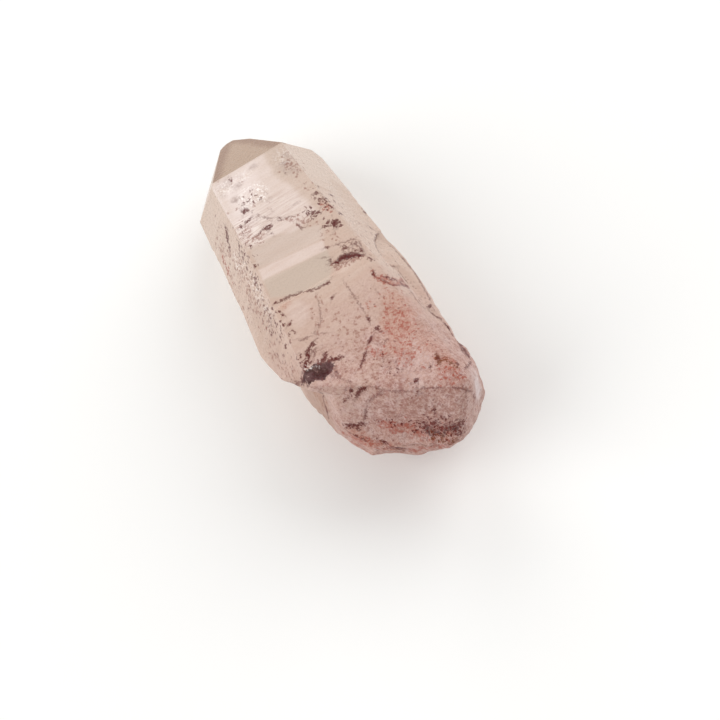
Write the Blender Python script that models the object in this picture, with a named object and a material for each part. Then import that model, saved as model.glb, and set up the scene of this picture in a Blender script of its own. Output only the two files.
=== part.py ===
"""A quartz crystal: one stout six-sided point, lying on one of its prism faces.

Lengths are in millimetres until the last step, which turns them to metres. The crystal is built
with its growth axis (the c axis) along Y, the tip at +Y and the broken root at -Y. X runs across
the uppermost prism face, Z is up from the face it rests on, and Y is zero at the edge where the
uppermost prism face meets the tip. The finished body stands with the middle of its box's underside
on the origin.
"""

import math

import bmesh
import bpy
from mathutils import Matrix, Vector, noise

MM = 0.001

# Section of the prism at the tip edge
TOP_WIDTH = 21.0
LEFT_WIDTH = 15.8
RIGHT_WIDTH = 17.8
HEIGHT = 35.0
SIXTH_TURN = 60.0

# The prism widens towards the root: each face leans this many degrees towards the tip
TOP_LEAN = 1.7
LEFT_LEAN = 5.2
RIGHT_LEAN = 2.8

# A rhombohedral face of quartz stands 51.8 degrees off the c axis, so it leans 38.2 towards the tip
TIP_LEAN = 38.2
TIP_LENGTH = 27.2
TIP_DROP = 21.4

# The surface is broken and lumpy from ROUGH_FROM on, and fully so past ROUGH_FULL
ROUGH_FROM = -38.0
ROUGH_FULL = -74.0
ROUGH_END = -98.0
NET_SIZE = 3.8
NET_REACH = 8
LUMP_HEIGHT = 1.1
LUMP_SIZE = 15.0
KNOB_HEIGHT = 0.7
KNOB_SIZE = 5.5
KNOB_SHIFT = Vector((7, 3, 5))
LUMP_SEED = 10
REST_MARGIN = 5.0

# The block and the root under it are one crystal, with a slight step where they meet
ROOT_STEP = 0.4
BLOCK_INSIDE = 1.2

# Half the size of the stock that the forms are cut from
STOCK = 150.0
# A corner nearer to a face than this is on it; edges and slivers smaller than these are cleared away
ON_FACE = 0.01
SHORTEST_EDGE = 0.3
SLIVER = 0.02

PINK_QUARTZ = (0.52, 0.31, 0.27, 1.0)


def level(below_top):
    """Height above the resting face of a point so far below the tip edge."""
    return HEIGHT - below_top


def smooth_step(start, end, value):
    """Zero before start, one after end, smooth between; start may be the larger."""
    share = min(max((value - start) / (end - start), 0.0), 1.0)
    return share * share * (3 - 2 * share)


def face_normal(turn, lean):
    """Normal of a face: turned from up towards +X about the c axis, leaning towards the tip."""
    turn = math.radians(turn)
    lean = math.radians(lean)
    return Vector((math.sin(turn) * math.cos(lean), math.sin(lean), math.cos(turn) * math.cos(lean)))


def break_normal(bearing, rise):
    """Normal of a broken face: bearing from -Y towards +X seen from above, rising from level."""
    bearing = math.radians(bearing)
    rise = math.radians(rise)
    return Vector((math.sin(bearing) * math.cos(rise), -math.cos(bearing) * math.cos(rise), math.sin(rise)))


def plane_through(a, b, c):
    """Plane through three corners, as a point and the normal that looks away from the middle."""
    a, b, c = Vector(a), Vector(b), Vector(c)
    normal = (b - a).cross(c - a).normalized()
    middle = Vector((0, -30, HEIGHT / 2))
    if normal.dot(a - middle) < 0:
        normal = -normal
    return a, normal


def score(bm, point, normal, keep_outside=True):
    """Cut the faces along a plane; without keep_outside, what lies beyond it goes and is closed."""
    everything = bm.verts[:] + bm.edges[:] + bm.faces[:]
    cut = bmesh.ops.bisect_plane(
        bm, geom=everything, dist=0.001, plane_co=point, plane_no=normal, clear_outer=not keep_outside
    )
    rim = [item for item in cut["geom_cut"] if isinstance(item, bmesh.types.BMEdge)]
    if rim and not keep_outside:
        bmesh.ops.contextual_create(bm, geom=rim)


def prism_faces():
    """The six prism faces by name, as a point and a normal each; it rests on the one called rest."""
    half = TOP_WIDTH / 2
    run = math.cos(math.radians(SIXTH_TURN))
    drop = math.sin(math.radians(SIXTH_TURN))
    left_corner = Vector((-half - LEFT_WIDTH * run, 0, level(LEFT_WIDTH * drop)))
    right_corner = Vector((half + RIGHT_WIDTH * run, 0, level(RIGHT_WIDTH * drop)))
    return {
        "top": (Vector((0, 0, HEIGHT)), face_normal(0, TOP_LEAN)),
        "left": (Vector((-half, 0, HEIGHT)), face_normal(-SIXTH_TURN, LEFT_LEAN)),
        "right": (Vector((half, 0, HEIGHT)), face_normal(SIXTH_TURN, RIGHT_LEAN)),
        "low_left": (left_corner, face_normal(-2 * SIXTH_TURN, LEFT_LEAN)),
        "low_right": (right_corner, face_normal(2 * SIXTH_TURN, RIGHT_LEAN)),
        "rest": (Vector((0, 0, 0)), Vector((0, 0, -1))),
    }


def tip_faces():
    """The six faces of the tip and two small bevels; they meet in a short ridge like a chisel."""
    ridge_left = Vector((-0.3, TIP_LENGTH - 0.2, level(TIP_DROP - 0.2)))
    ridge_right = Vector((2.4, TIP_LENGTH, level(TIP_DROP)))
    right_bend = Vector((6.0, 19.5, level(15.4)))
    return [
        (Vector((0, 0, HEIGHT)), face_normal(0, TIP_LEAN)),
        plane_through((-10.3, 0.5, level(0.4)), (-3.7, 20.9, level(16.5)), (-18.2, 2.0, level(13.7))),
        (ridge_left, face_normal(-50, 50)),
        (right_bend, face_normal(SIXTH_TURN, TIP_LEAN + 0.5)),
        plane_through((10.8, 0, level(0)), right_bend, (19.1, 3.7, level(15.1))),
        (ridge_right, face_normal(180, TIP_LEAN)),
        (Vector((-12.2, 11.6, 10.6)), face_normal(-2 * SIXTH_TURN, TIP_LEAN)),
        (Vector((13.5, 12.4, 9.9)), face_normal(2 * SIXTH_TURN, TIP_LEAN)),
        (Vector((19.2, 1.2, level(15.1))), face_normal(85, 28)),
    ]


def end_faces():
    """The steep broken end, sloping down from an oblique ridge, and the broken right corner."""
    return [
        (Vector((-1.9, -78.3, level(-2.3))), break_normal(-41, 32)),
        (Vector((8.0, -84.9, level(-2.5))), break_normal(-33, 34)),
        (Vector((20.2, -68.0, level(14))), break_normal(87, 0)),
    ]


def block_rim_faces():
    """The upper block's broken left rim, hollowed away below the left prism face."""
    return [
        (Vector((-22.9, -45.5, level(14))), break_normal(-86, -22)),
        (Vector((-22.4, -49.2, level(11.7))), break_normal(-73, -25)),
        (Vector((-21.3, -56.6, level(8.2))), break_normal(-54, -25)),
        (Vector((-19.5, -61.4, level(4.2))), break_normal(-45, -25)),
    ]


def lobe_faces():
    """The lobe of the root that comes out from under the block's rim on the left."""
    return [
        (Vector((-20.5, -62.2, level(12))), break_normal(-98, -4)),
        (Vector((-19.6, -66.2, level(12))), break_normal(-62, 2)),
        (Vector((-15.7, -72.0, level(12))), break_normal(-86, 12)),
    ]


def root_faces():
    """Broken faces round the end of the root, and the undercuts below them."""
    waist = level(14)
    return [
        (Vector((-14.6, -79.1, waist)), break_normal(-58, 4)),
        (Vector((-9.8, -84.1, waist)), break_normal(-44, -8)),
        (Vector((-5.6, -85.4, waist)), break_normal(-32, -10)),
        (Vector((0.4, -90.4, waist)), break_normal(-22, -4)),
        (Vector((8.0, -92.3, waist)), break_normal(8, -4)),
        (Vector((14.5, -86.2, waist)), break_normal(42, 0)),
        (Vector((18.7, -81.2, waist)), break_normal(68, 5)),
        # undercuts
        (Vector((-14.0, -68.0, level(24))), break_normal(-70, -38)),
        (Vector((-9.0, -77.0, level(24.5))), break_normal(-40, -40)),
        (Vector((2.0, -84.5, level(24.2))), break_normal(2, -34)),
        (Vector((13.0, -82.0, level(25))), break_normal(45, -38)),
    ]


# where the root ends inside the block
ROOT_INSIDE = (Vector((0, -48.0, HEIGHT / 2)), Vector((0.15, 0.95, 0.3)).normalized())


def set_in(faces, depth):
    """The same faces, moved inwards a little."""
    return [(point - depth * normal, normal) for point, normal in faces]


def cut_form(faces):
    """A closed form cut out of a big block of stock by its faces."""
    bm = bmesh.new()
    bmesh.ops.create_cube(bm, size=2 * STOCK)
    for point, normal in faces:
        score(bm, point, normal, keep_outside=False)
    return bm


# Growth terraces: on each prism face, where the surface drops and by how much, from the tip on
TERRACES = {
    "top": [(-24.5, 0.0), (-30.8, 0.4), (-35.6, 0.4), (-42.6, 0.9), (-43.6, 0.1)],
    "left": [(-12.0, 0.0), (-12.6, 0.15), (-29.0, 0.15), (-29.7, 0.25), (-40.0, 0.0)],
    "right": [(-17.0, 0.0), (-17.6, 0.15), (-30.0, 0.0)],
    "low_left": [(-8.0, 0.0), (-8.8, 0.2), (-26.0, 0.2), (-27.0, 0.35), (-42.0, 0.1)],
    "low_right": [(-14.0, 0.0), (-14.8, 0.2), (-38.0, 0.0), (-52.0, 0.0), (-52.8, 0.5), (-70.0, 0.3)],
}
# the terraces of the top face fade out between these two places across it
FADE_FROM = 4.5
FADE_TO = 9.0


def terrace_drop(ledges, along):
    """Drop of the surface at a place along the crystal, straight between two ledges."""
    if along >= ledges[0][0]:
        return ledges[0][1]
    for (start, start_drop), (end, end_drop) in zip(ledges, ledges[1:]):
        if along >= end:
            return start_drop + (end_drop - start_drop) * (start - along) / (start - end)
    return ledges[-1][1]


def add_terraces(bm):
    """Step each prism face down along its growth terraces; the face it rests on stays flat."""
    faces = prism_faces()
    for ledges in TERRACES.values():
        for place, _drop in ledges:
            score(bm, Vector((0, place, 0)), Vector((0, 1, 0)))
    for across in (FADE_FROM, FADE_TO):
        score(bm, Vector((across, 0, 0)), Vector((1, 0, 0)))
    moves = {}
    for name, ledges in TERRACES.items():
        point, normal = faces[name]
        for vert in bm.verts:
            if abs((vert.co - point).dot(normal)) > ON_FACE:
                continue
            drop = terrace_drop(ledges, vert.co.y)
            if name == "top":
                drop *= smooth_step(FADE_TO, FADE_FROM, vert.co.x)
            moves[vert] = moves.get(vert, Vector()) - drop * normal
    for vert, move in moves.items():
        if vert.co.z < ON_FACE:
            move.z = 0
        vert.co += move


def ellipsoid(center, normal, along, radii):
    """A closed ellipsoid: radii go along, across and out of the face whose normal is given."""
    bm = bmesh.new()
    bmesh.ops.create_icosphere(bm, subdivisions=3, radius=1.0)
    out = normal.normalized()
    lengthwise = (along - along.dot(out) * out).normalized()
    crosswise = out.cross(lengthwise)
    turn = Matrix((lengthwise, crosswise, out)).transposed().to_4x4()
    bmesh.ops.scale(bm, verts=bm.verts, vec=radii)
    bmesh.ops.transform(bm, matrix=Matrix.Translation(center) @ turn, verts=bm.verts)
    return bm


def scoop(place, normal, along, length, width, depth, roundness=3.0):
    """A cutter for a shell-shaped hollow: its mouth's length and width, and how deep it goes."""
    out_radius = depth * roundness
    share = math.sqrt(1 - ((out_radius - depth) / out_radius) ** 2)
    center = Vector(place) + normal.normalized() * (out_radius - depth)
    return ellipsoid(center, normal, Vector(along), (length / 2 / share, width / 2 / share, out_radius))


def hollows():
    """Cutters for the shell-shaped breaks, chips and pits."""
    faces = prism_faces()
    right_normal = faces["right"][1]
    return [
        # the long shallow trough across the end face
        scoop((-2.0, -84.3, level(7.0)), break_normal(-38, 32), (1, -0.5, 0), 25, 7, 0.5, 8.0),
        # the thin flake gone from the right face
        scoop((17.0, -34.0, level(9.5)), right_normal, (0.14, 1, 0), 26, 9, 0.25, 10.0),
        # the nick half way down the right side
        scoop((21.8, -57.8, level(13.5)), break_normal(88, 10), (0.3, 0.2, 1), 14, 3.4, 0.9, 2.0),
        # the pale chip at the right of the end
        scoop((19.4, -83.2, level(9)), break_normal(62, 25), (0.2, 0.1, 1), 11, 8, 0.9, 3.0),
        # shell breaks on the hidden left flank, underneath and on the low right side
        scoop((-20.8, -50.0, level(23)), break_normal(-80, -30), (0, 1, 0.2), 26, 19, 1.4, 4.0),
        scoop((-10.0, -74.0, level(28)), break_normal(-50, -42), (1, 0.4, 0), 24, 16, 1.4, 4.0),
        scoop((6.0, -83.0, level(25)), break_normal(0, -36), (1, 0.1, 0), 27, 13, 0.7, 6.0),
        scoop((19.0, -68.0, level(24)), break_normal(88, -32), (0, 1, 0.1), 29, 14, 1.2, 4.5),
        # a bruise on the low right corner near the tip
        scoop((8.0, 8.0, 1.0), face_normal(150, 10), (0.2, 1, 0), 12, 5, 1.0, 2.5),
    ]


def combined(bm, others, operation):
    """Join other closed forms to the body, or cut them out of it; the forms are used up."""
    helpers = []
    for form in [bm] + others:
        mesh = bpy.data.meshes.new("helper")
        form.to_mesh(mesh)
        form.free()
        helper = bpy.data.objects.new("helper", mesh)
        bpy.context.collection.objects.link(helper)
        helpers.append(helper)
    for other in helpers[1:]:
        boolean = helpers[0].modifiers.new("boolean", "BOOLEAN")
        boolean.operation = operation
        boolean.solver = "EXACT"
        boolean.object = other
    result = bmesh.new()
    result.from_object(helpers[0], bpy.context.evaluated_depsgraph_get())
    for helper in helpers:
        bpy.data.objects.remove(helper)
    return result


def net_of_cuts(bm):
    """Cut the faces of the root into a net of small ones, so that it can be made lumpy."""
    for number in range(round((ROUGH_FROM - ROUGH_END) / NET_SIZE)):
        score(bm, Vector((0, ROUGH_FROM - number * NET_SIZE, 0)), Vector((0, 1, 0.12)))
    middle = Vector((0, (ROUGH_FROM + ROUGH_END) / 2, HEIGHT / 2))
    for direction in (Vector((1, 0.1, 0.05)), Vector((0.08, -0.1, 1))):
        for number in range(-NET_REACH, NET_REACH + 1):
            rough = [face for face in bm.faces if face.calc_center_median().y < ROUGH_FROM]
            edges = dict.fromkeys(edge for face in rough for edge in face.edges)
            verts = dict.fromkeys(vert for face in rough for vert in face.verts)
            bmesh.ops.bisect_plane(
                bm, geom=[*verts, *edges, *rough], dist=0.001,
                plane_co=middle + number * NET_SIZE * direction, plane_no=direction,
            )
    bmesh.ops.remove_doubles(bm, verts=bm.verts, dist=SHORTEST_EDGE)
    bmesh.ops.triangulate(bm, faces=bm.faces)
    bmesh.ops.dissolve_degenerate(bm, dist=SLIVER, edges=bm.edges)
    bmesh.ops.triangulate(bm, faces=bm.faces)


def roughen(bm):
    """Push the knots of the net in and out, more towards the root, and not through the rest face."""
    net_of_cuts(bm)
    noise.seed_set(LUMP_SEED)
    for vert in bm.verts:
        lumps = noise.noise_vector(vert.co / LUMP_SIZE) * LUMP_HEIGHT
        knobs = noise.noise_vector(vert.co / KNOB_SIZE + KNOB_SHIFT) * KNOB_HEIGHT
        move = (lumps + knobs) * smooth_step(ROUGH_FROM, ROUGH_FULL, vert.co.y)
        move.z *= smooth_step(0, REST_MARGIN, vert.co.z)
        vert.co += move


def build_crystal():
    prism = list(prism_faces().values())
    block = cut_form(
        prism + tip_faces() + block_rim_faces() + end_faces() + set_in(root_faces(), BLOCK_INSIDE)
    )
    add_terraces(block)
    *sides, rest = prism
    root_limits = set_in(sides + end_faces(), ROOT_STEP) + [rest, ROOT_INSIDE]
    root = cut_form(root_limits + lobe_faces() + root_faces())
    body = combined(block, [root], "UNION")
    body = combined(body, hollows(), "DIFFERENCE")
    roughen(body)
    bmesh.ops.recalc_face_normals(body, faces=body.faces)
    return body


def stand_on_origin(bm):
    """Move the body so that the middle of its box's underside is the origin."""
    lows = [min(vert.co[axis] for vert in bm.verts) for axis in range(3)]
    highs = [max(vert.co[axis] for vert in bm.verts) for axis in range(3)]
    shift = Vector(((lows[0] + highs[0]) / -2, (lows[1] + highs[1]) / -2, -lows[2]))
    bmesh.ops.translate(bm, verts=bm.verts, vec=shift)
    return shift


def quartz_material():
    material = bpy.data.materials.new("pink_quartz")
    material.use_nodes = True
    shader = material.node_tree.nodes["Principled BSDF"]
    shader.inputs["Base Color"].default_value = PINK_QUARTZ
    shader.inputs["Roughness"].default_value = 0.25
    shader.inputs["Metallic"].default_value = 0.0
    return material


for leftover in list(bpy.data.objects):
    bpy.data.objects.remove(leftover)

body = build_crystal()
SHIFT = stand_on_origin(body)
bmesh.ops.scale(body, verts=body.verts, vec=(MM, MM, MM))
mesh = bpy.data.meshes.new("quartz_crystal")
body.to_mesh(mesh)
body.free()
mesh.materials.append(quartz_material())
crystal = bpy.data.objects.new("quartz_crystal", mesh)
bpy.context.collection.objects.link(crystal)
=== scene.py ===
"""A pink quartz point lying on a pale table: its looks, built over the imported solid.

Sizes are in millimetres where a name or comment says so, and in metres in the finished meshes.
"""

import math
import random

import bpy
import numpy as np
from mathutils import Matrix, Vector, noise
from mathutils.bvhtree import BVHTree


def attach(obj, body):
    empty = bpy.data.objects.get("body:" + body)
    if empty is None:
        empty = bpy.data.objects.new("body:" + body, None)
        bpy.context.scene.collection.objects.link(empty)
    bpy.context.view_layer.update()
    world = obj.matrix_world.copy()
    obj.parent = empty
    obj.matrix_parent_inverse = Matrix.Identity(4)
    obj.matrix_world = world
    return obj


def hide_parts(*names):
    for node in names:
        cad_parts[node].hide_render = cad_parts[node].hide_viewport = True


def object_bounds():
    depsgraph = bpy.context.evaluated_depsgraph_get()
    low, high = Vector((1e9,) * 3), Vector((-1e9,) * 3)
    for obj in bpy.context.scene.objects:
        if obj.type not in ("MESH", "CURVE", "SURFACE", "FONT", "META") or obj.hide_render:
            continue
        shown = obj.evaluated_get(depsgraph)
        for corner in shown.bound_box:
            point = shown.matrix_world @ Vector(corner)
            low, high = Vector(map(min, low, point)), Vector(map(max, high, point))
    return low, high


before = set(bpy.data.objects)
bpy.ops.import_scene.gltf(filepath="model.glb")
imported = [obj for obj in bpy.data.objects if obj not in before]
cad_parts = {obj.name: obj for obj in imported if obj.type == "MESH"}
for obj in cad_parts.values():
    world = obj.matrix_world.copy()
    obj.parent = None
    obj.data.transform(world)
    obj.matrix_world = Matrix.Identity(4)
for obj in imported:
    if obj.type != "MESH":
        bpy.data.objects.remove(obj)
cad_box = [list(corner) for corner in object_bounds()]


# --- The quartz point ------------------------------------------------------------------------
# One natural crystal of milky pink quartz: a six-sided prism with a chisel-like tip, grown with
# fine steps across its faces, and a rough root where it broke off its bed. The body starts as
# a copy of the solid, remeshed finely enough to take growth lines, lumps and shell breaks.

MM = 0.001
# the middle of the edge between the uppermost prism face and the tip; marks are placed from here
TIP_EDGE = Vector((0.64, 32.79, 35.0))


def select_only(thing):
    bpy.ops.object.select_all(action="DESELECT")
    thing.select_set(True)
    bpy.context.view_layer.objects.active = thing


point = bpy.data.objects.new("quartz_point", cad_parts["quartz_crystal"].data.copy())
bpy.context.scene.collection.objects.link(point)
select_only(point)
bpy.ops.object.mode_set(mode="EDIT")
bpy.ops.mesh.select_all(action="SELECT")
bpy.ops.mesh.remove_doubles(threshold=0.000002)
bpy.ops.object.mode_set(mode="OBJECT")
remesh = point.modifiers.new("fine_net", "REMESH")
remesh.mode = "SHARP"
remesh.octree_depth = 9
remesh.scale = 0.64  # cells of 0.37 mm
remesh.sharpness = 1.0
bpy.ops.object.modifier_apply(modifier=remesh.name)
for attribute in [a for a in point.data.attributes if a.name == "sharp_face"]:
    point.data.attributes.remove(attribute)


def read_places():
    """The corners of the body, in mm from the middle of the tip edge."""
    flat = np.empty(len(point.data.vertices) * 3)
    point.data.vertices.foreach_get("co", flat)
    return flat.reshape(-1, 3) / MM - np.array(TIP_EDGE)


def read_normals():
    flat = np.empty(len(point.data.vertices) * 3)
    point.data.vertex_normals.foreach_get("vector", flat)
    return flat.reshape(-1, 3)


def write_places(places):
    point.data.vertices.foreach_set("co", ((places + np.array(TIP_EDGE)) * MM).ravel())
    point.data.update()


def ramp(low, high, values):
    """Zero below low, one above high, smooth between; low may be the larger."""
    share = np.clip((values - low) / (high - low), 0, 1)
    return share * share * (3 - 2 * share)


def rumple(places, size, seed):
    """Smooth noise from about -1 to 1 at each place, with lumps of the given size in mm."""
    shift = Vector((seed * 7.3, seed * 3.1, seed * 5.7))
    return np.array([noise.noise(Vector(place) / size + shift) for place in places])


def weigh(name, weights):
    """A vertex group, in tenths, so that a modifier acts more on some places than on others."""
    group = point.vertex_groups.new(name=name)
    for step in range(1, 11):
        chosen = np.nonzero(np.round(weights * 10) == step)[0]
        if len(chosen):
            group.add([int(index) for index in chosen], step / 10, "REPLACE")


def soften(name, weights, repeats):
    """Wear away edges where the weights are high."""
    weigh(name, weights)
    smooth = point.modifiers.new(name, "SMOOTH")
    smooth.factor = 0.5
    smooth.iterations = repeats
    smooth.vertex_group = name
    bpy.ops.object.modifier_apply(modifier=smooth.name)


# The lower faces carry few marks, so their net is made wider, which keeps the piece under 200,000 triangles.
weigh("plain_faces", ramp(-17, -20, read_places()[:, 2]))
thin_out = point.modifiers.new("thin_out", "DECIMATE")
thin_out.ratio = 0.69
thin_out.vertex_group = "plain_faces"
bpy.ops.object.modifier_apply(modifier=thin_out.name)
count = len(point.data.vertices)

# The root's edges and its last ridge are worn round; so is the right edge of the top face, from 20 mm
# behind the tip.
places = read_places()
root_share = ramp(-44, -66, places[:, 1])
right_edge = np.hypot(places[:, 0] - 10.5 + places[:, 1] * 0.028, (places[:, 2] - 0.5) * 0.8)
soften("worn_root", ramp(-50, -64, places[:, 1]) * ramp(-34.9, -33, places[:, 2]), 20)
soften("worn_right_edge", ramp(9, 3, right_edge) * ramp(-16, -40, places[:, 1]), 170)
soften("worn_ridge", ramp(-66, -74, places[:, 1]) * ramp(-5, -1, places[:, 2]) * 0.8, 90)

# Relief: faint growth lines run across the prism faces; the broken root has low lumps and crumbs.
places = read_places()
normals = read_normals()
GROWTH_LINES, BROAD_LUMPS, SMALL_LUMPS, CRUMBS = 0.055, 0.34, 0.2, 0.05  # their heights in mm
SUNK = 0.04  # the whole surface lies this much lower, in mm, so that the relief stays in the solid's box
side_on = ramp(0.35, 0.1, np.abs(normals[:, 1]))
level_top = ramp(0.8, 0.97, normals[:, 2])
growth = np.array([noise.noise(Vector((y * 0.9, x * 0.09, z * 0.06))) for x, y, z in places])
growth += 0.7 * np.array([noise.noise(Vector((y * 2.3, x * 0.13, 9))) for x, y, z in places])
growth *= 0.25 + ramp(-0.35, 0.35, rumple(places, 8.0, 4))
banded = ramp(-22, -26, places[:, 1]) * ramp(-44, -41, places[:, 1]) * level_top
depth = side_on * (1 - root_share) * (1 - 0.8 * banded) * GROWTH_LINES * growth
lumps = BROAD_LUMPS * rumple(places, 4.2, 1) + SMALL_LUMPS * rumple(places, 1.9, 2)
depth += root_share * (1 - 0.55 * level_top) * lumps
depth += (0.06 + 0.94 * root_share) * CRUMBS * rumple(places, 1.0, 3)
# Shell-shaped breaks: the ground drops along an edge, and comes up again some way off.
SHELL_BREAKS = [
    # drop and reach in mm, then the places that the edge runs through; the ground drops on its right
    (0.9, 5.5, [(20.7, -29.1, -15.5), (18.6, -31.6, -12.7), (17.1, -34.6, -10.0), (16.1, -38.1, -7.9),
                (16.0, -40.6, -7.3), (15.6, -43.7, -6.1), (17.1, -46.2, -8.6), (17.1, -51.3, -7.8),
                (17.0, -56.8, -6.1), (17.0, -60.5, -6.2)]),
    (0.3, 2.5, [(12.3, -37.3, 0.5), (11.9, -40.7, 1.2), (12.0, -43.6, 1.3), (12.9, -45.6, 0.2),
                (14.7, -45.4, -3.8)]),
    (0.5, 3.5, [(17.0, -60.5, -6.2), (17.9, -62.9, -7.7), (18.6, -65.6, -8.8), (19.2, -68.1, -9.8),
                (18.9, -73.5, -8.1)]),
]
by_length = np.argsort(places[:, 1], kind="stable")
lengths = places[by_length, 1]


def reach_of(start, end, reach):
    """The corners near a stretch of line, with their offsets from it and their shares of its length."""
    start, run = np.array(start), np.array(end) - np.array(start)
    middle, far = start + run / 2, np.linalg.norm(run) / 2 + reach
    close = by_length[np.searchsorted(lengths, middle[1] - far):np.searchsorted(lengths, middle[1] + far)]
    close = close[(np.abs(places[close] - middle) < far).all(axis=1)]
    share = np.clip((places[close] - start) @ run / (run @ run), 0, 1)
    return close, places[close] - start - share[:, None] * run, share


def stretches(half_width, route, taper, reach=2.5):
    """A line's stretches, each with the corners near it, their offsets, and the half width beside them."""
    whole = sum((Vector(b) - Vector(a)).length for a, b in zip(route, route[1:]))
    before = 0.0
    for start, end in zip(route, route[1:]):
        length = (Vector(end) - Vector(start)).length
        close, offset, share = reach_of(start, end, reach)
        gone = before + share * length
        before += length
        # the ends are a quarter as wide as the middle
        thin = half_width * (0.25 + 0.75 * ramp(0, min(taper, whole / 2), np.minimum(gone, whole - gone)))
        yield np.array(end) - np.array(start), close, offset, thin


for drop, reach, route in SHELL_BREAKS:
    beside = np.full(count, 9.0)
    fall = np.zeros(count)
    for run, close, offset, full in stretches(1.0, route, 4.0, reach):
        distance = np.linalg.norm(offset, axis=1)
        inward = (offset * np.cross(run / np.linalg.norm(run), normals[close])).sum(1)
        better = distance < beside[close]
        chosen = close[better]
        beside[chosen] = distance[better]
        fall[chosen] = (full * ramp(0.1, -0.25, inward) * ramp(reach, 0.25 * reach, distance))[better]
    depth -= drop * fall

places += normals * (depth - SUNK)[:, None]
low, high = (np.array(corner) / MM - np.array(TIP_EDGE) for corner in cad_box)
places = np.clip(places, low, high)
write_places(places)

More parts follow.
